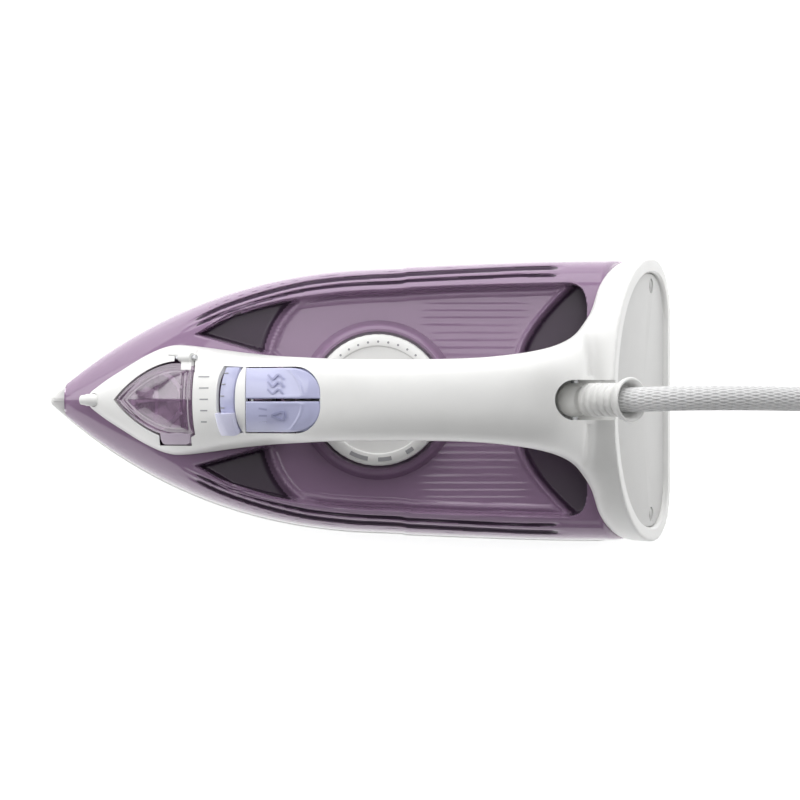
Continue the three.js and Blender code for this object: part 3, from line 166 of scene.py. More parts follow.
def textile(name, light, shade_paint, braid_pitch, tracers):
    """A braided jacket: two sets of yarns crossing at an angle, on the tube's own length and angle, with painted
    shade in the low places between the yarns.
    """
    made, tree, shader = material(name, light, 0.75, sheen=0.4)
    uv = node(tree, "ShaderNodeUVMap", uv_map="lay")
    split = node(tree, "ShaderNodeSeparateXYZ")
    tree.links.new(uv.outputs["UV"], split.inputs["Vector"])

    def calc(operation, *values, clamp=False):
        step_ = node(tree, "ShaderNodeMath", operation=operation, use_clamp=clamp)
        for socket, value in zip(step_.inputs, values):
            if isinstance(value, float):
                socket.default_value = value
            else:
                tree.links.new(value, socket)
        return step_.outputs[0]

    along = calc("MULTIPLY", split.outputs["X"], 1 / braid_pitch)
    round_ = calc("MULTIPLY", split.outputs["Y"], float(tracers))
    right = calc("SINE", calc("MULTIPLY", calc("ADD", along, round_), 2 * math.pi))
    left = calc("SINE", calc("MULTIPLY", calc("SUBTRACT", along, round_), 2 * math.pi))
    weave = calc("MAXIMUM", right, left)
    height = calc("ADD", weave, calc("MULTIPLY", calc("MULTIPLY", right, left), 0.5))
    bump = node(tree, "ShaderNodeBump", Strength=0.55, Distance=0.0005)
    tree.links.new(height, bump.inputs["Height"])
    tree.links.new(bump.outputs["Normal"], shader.inputs["Normal"])
    # Colour runs from painted shade in the low places between the yarns to the yarn's own light grey on the high
    # ones.
    ramp = colour_ramp(tree, (0.12, shade_paint), (0.62, light))
    level = calc("ADD", calc("MULTIPLY", height, 0.3), 0.5, clamp=True)
    tree.links.new(level, ramp.inputs["Fac"])
    tree.links.new(ramp.outputs["Color"], shader.inputs["Base Color"])
    return made


# Light grey yarn, with a darker grey as the painted shade between the yarns.
CORD_TEXTILE = textile("cord_textile", (0.74, 0.74, 0.74), (0.44, 0.44, 0.45), 0.0065, 22)


# ------------------------------------------------------------------ mesh helpers
AXIS_RADIUS = 0.02  # profiles that reach the axis of a turned body stop this short of it


def link(name, mesh, *finishes):
    for finish in finishes:
        mesh.materials.append(finish)
    made = bpy.data.objects.new(name, mesh)
    bpy.context.scene.collection.objects.link(made)
    return made


def mesh_from(name, points, faces, *finishes, smooth=True):
    mesh = bpy.data.meshes.new(name)
    places = (np.asarray(points, float) * MM).tolist()
    mesh.from_pydata(places, [], [tuple(int(i) for i in face) for face in faces])
    mesh.validate()
    made = link(name, mesh, *finishes)
    if smooth:
        soften(made)
    return made


def soften(obj, angle=35):
    """Smooth shading, with edges sharper than the angle kept crisp."""
    obj.data.polygons.foreach_set("use_smooth", [True] * len(obj.data.polygons))
    obj.data.set_sharp_from_angle(angle=math.radians(angle))


def paint(obj, finish, angle=35):
    """One finish all over, with smooth shading up to the angle."""
    obj.data.materials.clear()
    obj.data.materials.append(finish)
    soften(obj, angle)


def loft(name, rings, *finishes, smooth=True):
    """A closed body through rings of equal point count."""
    rings = [np.asarray(ring, float) for ring in rings]
    count = len(rings[0])
    points = np.vstack(rings + [rings[0].mean(0)[None], rings[-1].mean(0)[None]])
    first, last = len(points) - 2, len(points) - 1
    faces = []
    for k in range(len(rings) - 1):
        for i in range(count):
            a, b = k * count + i, k * count + (i + 1) % count
            faces.append((a, b, b + count, a + count))
    end = (len(rings) - 1) * count
    for i in range(count):
        j = (i + 1) % count
        faces.append((first, j, i))
        faces.append((last, end + i, end + j))
    return mesh_from(name, points, faces, *finishes, smooth=smooth)


def frame_of(direction):
    """Two unit vectors square to a direction."""
    side = np.cross(direction, (0, 0, 1) if abs(direction[2]) < 0.9 else (0, 1, 0))
    side /= np.linalg.norm(side)
    return side, np.cross(side, direction)


def circle(sides):
    """Angles all the way round."""
    return np.linspace(0, 2 * math.pi, sides, endpoint=False)


def turned(name, profile, origin, axis, *finishes, sides=64):
    """A turned body from (radius, distance along the axis) pairs; the ends lie on the axis."""
    axis = np.asarray(axis, float)
    axis /= np.linalg.norm(axis)
    side, up = frame_of(axis)
    angles = circle(sides)
    around = np.outer(np.cos(angles), side) - np.outer(np.sin(angles), up)
    rings = [np.asarray(origin) + axis * along + around * max(radius, AXIS_RADIUS) for radius, along in profile]
    return loft(name, rings, *finishes)


def rod(name, start, end, radius, sides=32, *finishes):
    start, end = np.asarray(start, float), np.asarray(end, float)
    length = float(np.linalg.norm(end - start))
    return turned(name, [(radius, 0), (radius, length)], start, end - start, *finishes, sides=sides)


def prism(name, outline, z0, z1, *finishes, shear=0.0):
    """An upright prism over a plan outline; shear moves its upper layers along -X."""
    outline = np.asarray(outline, float)
    low = [(x - shear * z0, y, z0) for x, y in outline]
    high = [(x - shear * z1, y, z1) for x, y in outline]
    count = len(outline)
    faces = [(i, (i + 1) % count, (i + 1) % count + count, i + count) for i in range(count)]
    faces.append(tuple(range(count - 1, -1, -1)))
    faces.append(tuple(range(count, 2 * count)))
    made = mesh_from(name, low + high, faces, *finishes, smooth=False)
    tidy_normals(made)
    return made


def box(name, x0, x1, y0, y1, z0, z1):
    return prism(name, [(x0, y0), (x1, y0), (x1, y1), (x0, y1)], z0, z1)


def ring_of(name, profile, centre, *finishes, sides=128):
    """A turned ring about an upright line: the (radius, z) profile closes on itself."""
    x, y = centre
    count = len(profile)
    points = [(x + r * math.cos(a), y + r * math.sin(a), z) for a in circle(sides) for r, z in profile]
    faces = []
    for k in range(sides):
        for i in range(count):
            j = (i + 1) % count
            m = (k + 1) % sides
            faces.append((k * count + i, m * count + i, m * count + j, k * count + j))
    made = mesh_from(name, points, faces, *finishes)
    tidy_normals(made)
    soften(made)
    return made


def tidy_normals(obj):
    work = bmesh.new()
    work.from_mesh(obj.data)
    bmesh.ops.recalc_face_normals(work, faces=work.faces)
    work.to_mesh(obj.data)
    work.free()


def apply_modifiers(obj):
    graph = bpy.context.evaluated_depsgraph_get()
    mesh = bpy.data.meshes.new_from_object(obj.evaluated_get(graph))
    obj.modifiers.clear()
    old = obj.data
    obj.data = mesh
    bpy.data.meshes.remove(old)


def combine(obj, operation, *others):
    """Boolean with each of the others, which are used up."""
    for other in others:
        cut = obj.modifiers.new("cut", "BOOLEAN")
        cut.operation = operation
        cut.solver = "MANIFOLD"
        cut.object = other
        apply_modifiers(obj)
        bpy.data.objects.remove(other)


def remesh(obj, voxel):
    voxels = obj.modifiers.new("voxels", "REMESH")
    voxels.mode = "VOXEL"
    voxels.voxel_size = voxel * MM
    apply_modifiers(obj)


def relax(obj, weight, rounds, factor=0.5):
    """Smooths the mesh where weight(points in mm) is above zero, and keeps the rest."""
    mesh = obj.data
    count = len(mesh.vertices)
    points = np.empty(count * 3)
    mesh.vertices.foreach_get("co", points)
    points = points.reshape(-1, 3) / MM
    edges = np.empty(len(mesh.edges) * 2, int)
    mesh.edges.foreach_get("vertices", edges)
    a, b = edges.reshape(-1, 2).T
    links = np.bincount(a, minlength=count) + np.bincount(b, minlength=count)
    share = weight(points)[:, None] * factor
    for _ in range(rounds):
        total = np.zeros_like(points)
        for axis in range(3):
            total[:, axis] = np.bincount(a, points[b, axis], count) + np.bincount(b, points[a, axis], count)
        points += share * (total / np.maximum(links, 1)[:, None] - points)
    mesh.vertices.foreach_set("co", (points * MM).ravel())
    mesh.update()


# ------------------------------------------------------------------ the object's own curves, in millimetres
def smooth_table(pairs):
    """A smooth curve through (x, value) pairs, level beyond its ends."""
    xs, ys = np.array(pairs, float).T
    slopes = np.empty_like(ys)
    slopes[1:-1] = (ys[2:] - ys[:-2]) / (xs[2:] - xs[:-2])
    slopes[0] = (ys[1] - ys[0]) / (xs[1] - xs[0])
    slopes[-1] = (ys[-1] - ys[-2]) / (xs[-1] - xs[-2])

    def value(x):
        x = np.clip(x, xs[0], xs[-1])
        k = np.clip(np.searchsorted(xs, x, side="right") - 1, 0, len(xs) - 2)
        width = xs[k + 1] - xs[k]
        t = (x - xs[k]) / width
        rise = (2 * t**3 - 3 * t**2 + 1) * ys[k] + (3 * t**2 - 2 * t**3) * ys[k + 1]
        bend = (t**3 - 2 * t**2 + t) * slopes[k] + (t**3 - t**2) * slopes[k + 1]
        return rise + bend * width

    return value


def bezier(points, count):
    """Points along a Bezier curve of any order, its last one left out."""
    points = np.array(points, float)
    t = np.linspace(0, 1, count, endpoint=False)[:, None]
    order = len(points) - 1
    return sum(math.comb(order, k) * (1 - t) ** (order - k) * t**k * points[k] for k in range(order + 1))


def step(low, high, value):
    """A smooth step from 0 below low to 1 above high."""
    t = np.clip((value - low) / (high - low), 0, 1)
    return t * t * (3 - 2 * t)


def bulge(distance, half):
    """A rounded ridge: 1 on its line and 0 from half on."""
    return np.clip(1 - (distance / half) ** 2, 0, 1)


grip_half_width = smooth_table([
    [-121, 3.6], [-114, 8.8], [-107, 13.2], [-98, 18.6], [-90, 22.4], [-83, 24.3], [-76, 24.2], [-66, 22.9],
    [-52, 20.9], [-36, 19.2], [-18, 18], [0, 17.5], [30, 17.4], [50, 18], [66, 19.6], [78, 21.8], [86, 24.5],
    [94, 30], [100, 38],
])
grip_top = smooth_table([
    [-121, 46.5], [-116, 51], [-109, 57.5], [-100, 65.5], [-90, 75], [-82, 82.5], [-72, 91.5], [-62, 99.5],
    [-50, 109], [-36, 119.5], [-17, 131.5], [0, 139], [18, 144], [36, 146.3], [54, 146.6], [68, 144.5],
    [80, 139.5], [90, 130], [100, 114],
])
grip_bottom = smooth_table([
    [-121, 34], [-40, 36], [-36.5, 40], [-33.5, 72], [-28, 89], [-20, 101], [-9, 109], [10, 115.5], [35, 119],
    [58, 118], [72, 112], [82, 101], [90, 84], [96, 66], [100, 56],
])
grip_waist = smooth_table([
    [-121, 37], [-100, 44], [-83, 52], [-60, 62], [-40, 76], [-28, 104], [-12, 117], [10, 126], [36, 131],
    [58, 130.5], [76, 122], [90, 100], [100, 74],
])
CROWN_POWER = 2.5
BELLY_POWER = 3.2


GRIP_SIDES = 96
GRIP_STEP = 1.25
LEAST = 0.4  # sections never get smaller than this when they are inset


def grip_ring(x, inset):
    """The handle's section at x: rounded above its widest line, squarer below it."""
    angles = circle(GRIP_SIDES)
    c, s = np.cos(angles), np.sin(angles)
    half = max(grip_half_width(x) - inset, LEAST)
    waist = grip_waist(x)
    above = max(grip_top(x) - inset - waist, LEAST)
    below = max(waist - grip_bottom(x) - inset, LEAST)
    power = np.where(s >= 0, 2 / CROWN_POWER, 2 / BELLY_POWER)
    y = half * np.sign(c) * np.abs(c) ** power
    z = waist + np.where(s >= 0, above, below) * np.sign(s) * np.abs(s) ** power
    return np.column_stack([np.full(GRIP_SIDES, x), y, z])


def grip_loft(name, inset, first=-121.0, last=100.0):
    """The handle's form, or a smaller one inside it."""
    stations = np.linspace(first, last, int((last - first) / GRIP_STEP))
    return loft(name, [grip_ring(x, inset) for x in stations])


def grip_surface(x, y):
    """Height of the handle's upper surface over a point."""
    share = np.minimum(np.abs(y) / grip_half_width(x), 1)
    waist = grip_waist(x)
    return waist + (grip_top(x) - waist) * (1 - share**CROWN_POWER) ** (1 / CROWN_POWER)


NOSE = [(-139, 2.2), (-66.7, 68.2), (11.1, 57.55), (20, 60.6)]  # Bezier points of the hull's side, tip to flank
NOSE_CURVE = bezier(NOSE, 400)
FLANK = (20.0, 112.0, 60.6, 63.2)  # where the nearly straight flank begins and ends, with its half widths


def hull_half_width(x):
    x = np.asarray(x, float)
    start, end, narrow, wide = FLANK
    share = np.clip((x - start) / (end - start), 0, 1)
    flank = narrow + (wide - narrow) * np.sin(share * math.pi / 2)
    nose = np.interp(x, [*NOSE_CURVE[:, 0], start], [*NOSE_CURVE[:, 1], narrow])
    return np.where(x >= start, flank, nose)


def corner(x, y, radius):
    """A rounded rear corner at +x, from the flank round to the rear edge, for y above 0."""
    return bezier([(x - radius, y), (x, y), (x, y - radius)], 10)


def unit_steps(points):
    """Unit vectors along a line of points."""
    along = np.gradient(points, axis=0)
    return along / np.linalg.norm(along, axis=1)[:, None]


def mirrored(side):
    """A closed outline from its +Y half, which runs from the nose to the rear."""
    side = np.asarray(side, float)
    other = side[::-1] * (1, -1)
    return np.vstack([other, side[np.abs(side[:, 1]) > 0.01]])[::-1]


def hull_outline(inset, rear_x, radius):
    """The iron's plan outline, moved inwards, up to a rounded rear edge."""
    curve = bezier(NOSE, 60)
    along = unit_steps(curve)
    nose = curve + np.column_stack([along[:, 1], -along[:, 0]]) * inset
    nose = nose[nose[:, 1] > 1.5]
    tip_x = nose[0, 0] - nose[0, 1] * 0.45
    tip = bezier([(tip_x, 0), (tip_x, nose[0, 1] * 0.8), nose[0]], 6)
    xs = np.linspace(FLANK[0], rear_x - radius, 12, endpoint=False)
    flank = np.column_stack([xs, hull_half_width(xs) - inset])
    rear_half = float(hull_half_width(rear_x)) - inset
    end = corner(rear_x, rear_half, radius)
    return mirrored(np.vstack([tip, nose[1:], flank, end, [(rear_x, rear_half - radius)]]))


tank_crown = smooth_table([
    [-134.5, 31], [-128, 36.5], [-118, 43.5], [-105, 51], [-90, 58.5], [-75, 64], [-55, 67.5], [-30, 69],
    [20, 70], [80, 70], [114.5, 68.5],
])
tank_squareness = smooth_table([
    [-134.5, 1.7], [-105, 2.1], [-75, 2.9], [-40, 3.8], [20, 4.4], [114.5, 4.6],
])
TANK_Z = 27.4
TANK_NOSE_X = -134.5
TANK_REAR_X = 114.4
TANK_STEP = 2.5
TANK_INSET = 0.8  # the tank's side stands this far inside the hull's edge
DECK_Z = 56.0
HEEL_LEAN = 0.326
LEAN_Z, LEAN_X = 32.0, 60.0  # the tank starts to lean with the heel here


def rear_lean(x, z):
    return HEEL_LEAN * (z - LEAN_Z) * max(0.0, (x - LEAN_X) / (TANK_REAR_X - LEAN_X))


def tank_loft(name, inset, bottom_z):
    """The tank's outer form, for cutting other pieces clear of it."""
    first, last = TANK_NOSE_X + inset * 1.6, TANK_REAR_X - inset
    angles = np.linspace(0, math.pi, 49)
    rings = []
    for x in np.linspace(first, last, int((last - first) / TANK_STEP)):
        half = max(float(hull_half_width(x)) - TANK_INSET - inset, TANK_INSET)
        power = 2 / tank_squareness(x)
        z = bottom_z + (tank_crown(x) - inset - bottom_z) * np.sin(angles).clip(0) ** power
        y = half * np.sign(np.cos(angles)) * np.abs(np.cos(angles)) ** power
        rings.append(np.column_stack([x - rear_lean(x, z), y, z]))
    return loft(name, rings)


POCKET_REAR_X = 99.0
POCKET_CORNER = 12.0


def pocket_outline(grow, rear_x=POCKET_REAR_X):
    """Plan of the finger pocket; its front corner follows the sides of the handle's nose."""
    inset = 11.5 - grow
    xs = np.linspace(-58, 50, 28)
    rear_half = float(hull_half_width(80)) - inset
    end = corner(rear_x + grow, rear_half, POCKET_CORNER)
    side = [(-34 - grow, 0.02), (-34 - grow, 12), (-43 - grow, 20.5), (-73 - grow, 29 + grow)]
    side += list(zip(xs, hull_half_width(xs) - inset)) + list(end)
    return mirrored(side + [(rear_x + grow, rear_half - POCKET_CORNER)])


def distance_inside(points, outline):
    """Distance from each point to a closed outline, positive inside it."""
    a = np.asarray(outline, float)
    b = np.roll(a, -1, axis=0)
    edge = b - a
    gap = points[:, None, :] - a[None]
    share = np.clip((gap * edge).sum(2) / (edge**2).sum(1), 0, 1)
    nearest = np.linalg.norm(gap - share[..., None] * edge, axis=2).min(1)
    above = (a[None, :, 1] > points[:, None, 1]) != (b[None, :, 1] > points[:, None, 1])
    rise = np.where(np.abs(edge[:, 1]) < 1e-9, 1e-9, edge[:, 1])
    crossing = a[:, 0] + (points[:, None, 1] - a[:, 1]) * edge[:, 0] / rise
    inside = (above & (points[:, None, 0] < crossing)).sum(1) % 2 == 1
    return np.where(inside, nearest, -nearest)


HALF_WIDTH = 63.2
HEEL_X = 140.0
HEEL_BOTTOM_Z = 5.0
HEEL_HEIGHT = 93.5
HEEL_DEPTH = 17.0


def heel_outline(inset):
    """Outline of the rear face from its foot up, as (y, height) pairs: flat foot, round corners, domed top."""
    foot = bezier([(0, 0), (34, 0)], 12)
    low = bezier([(34, 0), (52, 0), (HALF_WIDTH, 10), (HALF_WIDTH, 30)], 24)
    dome = bezier([(HALF_WIDTH, 30), (HALF_WIDTH, 62), (41, HEEL_HEIGHT), (0, HEEL_HEIGHT)], 48)
    side = np.vstack([foot, low, dome, [(0, HEEL_HEIGHT)]])
    along = unit_steps(side)
    along[0] = (1, 0)
    along[-1] = (-1, 0)
    moved = side + np.column_stack([-along[:, 1], along[:, 0]]) * inset
    left = moved[1:-1][::-1] * (-1, 1)
    return np.vstack([moved, left])


def heel_ring(inset, depth):
    """The rear outline moved inwards and forwards, standing in the leaning rear face."""
    y, height = heel_outline(inset).T
    return np.column_stack([HEEL_X - HEEL_LEAN * height - depth, y, HEEL_BOTTOM_Z + height])


def heel_loft(name, *levels):
    """A body through (inset, depth) levels, given from the front to the rear."""
    return loft(name, [heel_ring(inset, depth) for inset, depth in levels])


SLOT_HALF = 8.6
SLOT_FRONT_X = 82.6
SLOT_FLOOR_Z = 96.0


def slot_outline(grow, rear_x):
    """Plan of the slot that the cord guard swings in, open towards the rear."""
    centre = SLOT_FRONT_X + SLOT_HALF
    radius = SLOT_HALF + grow
    angles = np.linspace(math.pi / 2, 3 * math.pi / 2, 33)
    arc = np.column_stack([centre + radius * np.cos(angles), radius * np.sin(angles)])
    return np.vstack([arc, [(rear_x, -radius), (rear_x, radius)]])


PARTING = (-28.5, 79.0)


def under_grip_zone(name, shift):
    """Everything under the parting line of the grip."""
    rings = []
    for x in np.linspace(*PARTING, 60):
        end = shift if x == PARTING[0] else -shift if x == PARTING[1] else 0
        z = grip_bottom(x) + 0.42 * (grip_waist(x) - grip_bottom(x)) - shift
        rings.append([(x + end, 45, 40), (x + end, 45, z), (x + end, -45, z), (x + end, -45, 40)])
    return loft(name, rings)


DOOR_SLOPE = math.radians(42.5)
DOOR_LEAN = math.tan(DOOR_SLOPE)
DOOR_FRONT, DOOR_REAR, DOOR_HALF = -109.0, -72.4, 16.7
DOOR_HOLLOW = -73.5  # the rear edge on the middle line


def door_outline(grow):
    """Filler door in plan: pointed towards the nose, slightly hollow at the rear."""
    half = DOOR_HALF + grow
    rear = DOOR_REAR + grow
    side = np.vstack([
        bezier([(DOOR_FRONT - grow * 1.6, 0), (-104, 7 + grow), (-92, half), (-80, half)], 24),
        bezier([(-80, half), (-74.5, half), (rear, half - 2)], 8),
        bezier([(rear, half - 2), (DOOR_HOLLOW + grow, half / 2), (DOOR_HOLLOW + grow, 0)], 12),
        [(DOOR_HOLLOW + grow, 0)],
    ])
    return mirrored(side)


BUTTON_LEAN = 0.72
BUTTON_FRONT, BUTTON_REAR, BUTTON_HALF = -49.6, -17.0, 14.2
SEAM_HALF = 0.25


def button_outline(side, grow):
    """One button in plan: square at its hinged front edge, rounded at the back."""
    inner = SEAM_HALF - min(grow, 0)
    outer = BUTTON_HALF + grow
    front = BUTTON_FRONT - grow
    rear = BUTTON_REAR + grow
    points = np.vstack([
        bezier([(front, inner), (front, outer)], 14),
        bezier([(front, outer), (BUTTON_REAR - 11, outer)], 28),
        bezier([(BUTTON_REAR - 11, outer), (BUTTON_REAR - 4 + grow, outer), (rear, 8), (rear, 3)], 28),
        bezier([(rear, 3), (rear, inner)], 4),
        bezier([(rear, inner), (front, inner)], 28),
    ])
    return points[::-1] * (1, side) if side > 0 else points * (1, side)


def slanted_prism(name, outline, lean, z0, z1):
    """A prism that meets the handle's slope in the given outline, with walls square to the slope."""
    x, y = np.asarray(outline, float).T
    return prism(name, np.column_stack([x + lean * grip_surface(x, y), y]), z0, z1, shear=lean)




# ------------------------------------------------------------------ cord and plug
CORD_DIAMETER = 10.5
GUARD_PIVOT = np.array((92.0, 0.0, 107.0))
GUARD_TILT = math.radians(46)
GUARD_AXIS = np.array((math.cos(GUARD_TILT), 0.0, math.sin(GUARD_TILT)))
CORD_EXIT = GUARD_PIVOT + GUARD_AXIS * 27.4
CORD_ROUTE = [
    (115.4, 0.1, 131), (120.2, 0.3, 135.4), (127.5, 0.5, 140), (137, 0.7, 143), (148, 0.8, 143.9),
    (160, 0.8, 142.3), (173, 0.7, 137.6), (185.6, 0.5, 129.8), (197, 0.4, 119), (207, 0.3, 106),
    (215.6, 0.5, 91.4), (223.4, 1, 76), (231.4, 2.2, 60), (240.4, 4.6, 44.4), (251.6, 8.6, 30),
    (265.6, 15, 17.6), (282, 23.5, 9.4), (300, 33.2, 5.9), (320, 44, 5.3), (345, 54.2, 5.3), (365, 58.3, 5.3),
]
COIL_CENTRE = (385.0, -4.0)
COIL_RADII = (63.0, 52.5, 42.0)
LAYER_Z = (5.3, 15.8)
PER_TURN = 24
TAIL_Y = COIL_CENTRE[1] - COIL_RADII[1]
TAIL = [(x, TAIL_Y, z) for x, z in ((328, 15.4), (314, 12.6), (301, 8.2), (288, 5.6), (276.4, 5.4))]
PLUG_Y, PLUG_Z = TAIL_Y, 9.0
PLUG_REAR_X, PLUG_FACE_X = 276.0, 232.0


def coil_points():
    """Clockwise turns from the top: two inwards on the floor, two back outwards on top, then half a turn."""
    outer, middle, inner = COIL_RADII
    low, high = LAYER_Z
    turns = [  # share of a turn, radius and height at its start and end
        (0.5, outer, outer, low, low), (0.5, outer, middle, low, low),
        (0.5, middle, middle, low, low), (0.5, middle, inner, low, low),
        (0.5, inner, inner, low, low), (0.5, inner, inner, low, high),
        (0.5, inner, inner, high, high), (0.5, inner, middle, high, high), (0.5, middle, middle, high, high),
    ]
    points = []
    angle = math.pi / 2
    for share, r0, r1, z0, z1 in turns:
        count = int(share * PER_TURN)
        for k in range(count):
            t = k / count
            eased = t * t * (3 - 2 * t)
            radius = r0 + (r1 - r0) * eased
            turn = angle - 2 * math.pi * share * t
            points.append((
                COIL_CENTRE[0] + radius * math.cos(turn), COIL_CENTRE[1] + radius * math.sin(turn),
                z0 + (z1 - z0) * eased,
            ))
        angle -= 2 * math.pi * share
    points.append((COIL_CENTRE[0], COIL_CENTRE[1] - middle, high))
    return points


def between(a, b, start, end, t):
    """The straight line that is a at start and b at end."""
    return (end - t) / (end - start) * a + (t - start) / (end - start) * b


def lengths(path):
    """Length along a path up to each of its points."""
    return np.concatenate([[0], np.cumsum(np.linalg.norm(np.diff(path, axis=0), axis=1))])


def smooth_path(points, spacing):
    """A centripetal Catmull-Rom curve through the points, at even spacing along it."""
    points = np.asarray(points, float)
    ends = [2 * points[0] - points[1], *points, 2 * points[-1] - points[-2]]
    dense = []
    for p0, p1, p2, p3 in zip(ends, ends[1:], ends[2:], ends[3:]):
        k0, k1, k2, k3 = np.cumsum([0, *(np.linalg.norm(np.diff([p0, p1, p2, p3], axis=0), axis=1) ** 0.5)])
        t = np.linspace(k1, k2, 16, endpoint=False)[:, None]
        middle = between(p1, p2, k1, k2, t)
        early = between(between(p0, p1, k0, k1, t), middle, k0, k2, t)
        late = between(middle, between(p2, p3, k2, k3, t), k1, k3, t)
        dense.append(between(early, late, k1, k2, t))
    dense = np.vstack([*dense, points[-1:]])
    length = lengths(dense)
    even = np.linspace(0, length[-1], int(length[-1] / spacing) + 1)
    return np.column_stack([np.interp(even, length, dense[:, k]) for k in range(3)])


def tube(name, path, radius, sides, *finishes):
    """A round tube along a path; its uv map holds the length along it and the share of the way round."""
    along = unit_steps(path)
    side = np.cross(along[0], (0, 1, 0))
    side /= np.linalg.norm(side)
    angles = circle(sides)
    rings = []
    for point, direction in zip(path, along):
        side = side - direction * side.dot(direction)
        side /= np.linalg.norm(side)
        up = np.cross(direction, side)
        rings.append(point + radius * (np.outer(np.cos(angles), side) + np.outer(np.sin(angles), up)))
    made = loft(name, rings, *finishes)
    gone = lengths(path) * MM
    layer = made.data.uv_layers.new(name="lay")
    count = len(path) * sides
    for polygon in made.data.polygons:
        corners = list(polygon.vertices)
        columns = {v % sides for v in corners if v < count}
        seam = {0, sides - 1} <= columns  # the faces that join the last column to the first
        for loop, vertex in zip(polygon.loop_indices, corners):
            if vertex >= count:
                continue
            turn = 1.0 if seam and vertex % sides == 0 else (vertex % sides) / sides
            layer.data[loop].uv = (gone[vertex // sides], turn)
    return made


plug_half_width = smooth_table([
    (232, 17), (236, 17.6), (242, 17.5), (250, 15.8), (258, 12), (266, 8.6), (276, 6.4),
])
plug_half_height = smooth_table([(232, 8.4), (238, 8.8), (250, 8.7), (258, 8.1), (268, 6.5), (276, 5.3)])


def plug_ring(x, half, height):
    """The plug's section, an oval with squared corners."""
    angles = circle(48)
    c, s = np.cos(-angles), np.sin(-angles)
    y = half * np.sign(c) * np.abs(c) ** 0.75
    z = height * np.sign(s) * np.abs(s) ** 0.75
    return np.column_stack([np.full(48, x), PLUG_Y + y, PLUG_Z + z])


def make_plug():
    """A moulded plug: a round ribbed neck that widens into a flat face with rounded corners."""
    rings = []
    for x in np.linspace(PLUG_REAR_X, PLUG_FACE_X + 0.9, 110):
        groove = 0.7 if x > 262 and (x - 262) % 3.2 < 1.2 else 0.0
        rings.append(plug_ring(x, plug_half_width(x) - groove, plug_half_height(x) - groove))
    for inset, ahead in ((0.3, 0.4), (0.9, 0.0)):
        rings.append(plug_ring(PLUG_FACE_X + ahead, 17 - inset, 8.4 - inset))
    plug = loft("plug_body", rings, WHITE)
    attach(plug, "iron")
    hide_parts("mains_plug")
    return plug


def make_cord():
    path = smooth_path([CORD_EXIT, *CORD_ROUTE, *coil_points(), *TAIL], 1.6)
    cord = tube("cord", path, CORD_DIAMETER / 2, 20, CORD_TEXTILE)
    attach(cord, "iron")
    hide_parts("mains_cord", "cord_coil", "cord_tail")


# ------------------------------------------------------------------ white cover: handle and heel in one shell
GAP = 0.35
COVER_WALL = 2.2
RIM_WIDTH = 6.3
RIM_DEPTH = 3.0
SCREW_Y = 51.0
SLIDER_SLOPE = math.radians(38)  # of the handle's surface under the slider
SLIDER_AXIS = np.array((math.cos(SLIDER_SLOPE), 0.0, math.sin(SLIDER_SLOPE)))
SLIDER_NORMAL = np.array((-math.sin(SLIDER_SLOPE), 0.0, math.cos(SLIDER_SLOPE)))
SLIDER_RADIUS = 25.0
SLIDER_CENTRE = np.array((-58.2, 0.0, 102.4)) - SLIDER_RADIUS * SLIDER_NORMAL
SLIDER_REST = math.radians(-23)
DOOR_AXIS = np.array((math.cos(DOOR_SLOPE), 0.0, math.sin(DOOR_SLOPE)))
DOOR_HINGE = np.array((-76.0, 18.6, 80.8))
NOZZLE_FROM = np.array((-116.5, 0.0, 47.4))
NOZZLE_AIM = np.array((-1.0, 0.0, -0.22)) / math.hypot(1, 0.22)
NOZZLE_RADIUS = 2.7
LUG_HALF = 3.6
PIN_BORE = 1.5 + GAP
REMESH = 1.0
FLARE_X = 82.0  # the flare between grip and heel is rounded off behind this


def sector(name, r0, r1, angle0, angle1, along0, along1, *finishes, steps=24, lip=0.0):
    """A curved block round the slider's axis; lip rounds its upper edges."""
    rings = []
    for angle in np.linspace(angle0, angle1, steps + 1):
        outward = SLIDER_NORMAL * math.cos(angle) + np.array((0, math.sin(angle), 0))
        corners = [(along0, r0), (along0, r1 - lip)]
        if lip:
            cut = lip * 0.3
            corners += [(along0 + cut, r1 - cut), (along0 + lip, r1)]
            corners += [(along1 - lip, r1), (along1 - cut, r1 - cut)]
        corners += [(along1, r1 - lip), (along1, r0)]
        rings.append([SLIDER_CENTRE + SLIDER_AXIS * a + outward * r for a, r in corners])
    return loft(name, rings, *finishes)


def heel_depth(points):
    """Distance in front of the leaning rear face."""
    return HEEL_X - HEEL_LEAN * (points[:, 2] - HEEL_BOTTOM_Z) - points[:, 0]


def flare_weight(points):
    """The flare of the grip into the heel."""
    return step(FLARE_X, FLARE_X + 12, points[:, 0]) * step(1.5, 13, heel_depth(points))


def front_weight(points):
    """The front of the heel."""
    return step(94, 102, points[:, 0]) * step(1, 6, heel_depth(points))


def crown_weight(points):
    """The top of the heel, where the end of the grip has to disappear in it."""
    return front_weight(points) * (1 - step(38, 50, np.abs(points[:, 1])))


def voxel_weight(points):
    """All but the rim, against the steps that the remesh leaves."""
    return step(4, 6, heel_depth(points))


def button_cutter(name, outline):
    return slanted_prism(name, outline, BUTTON_LEAN, 98, 145)


def guard_bore(name, reach):
    """The bore for the guard's pin, across the iron."""
    x, _, z = GUARD_PIVOT
    return rod(name, (x, -reach, z), (x, reach, z), PIN_BORE)


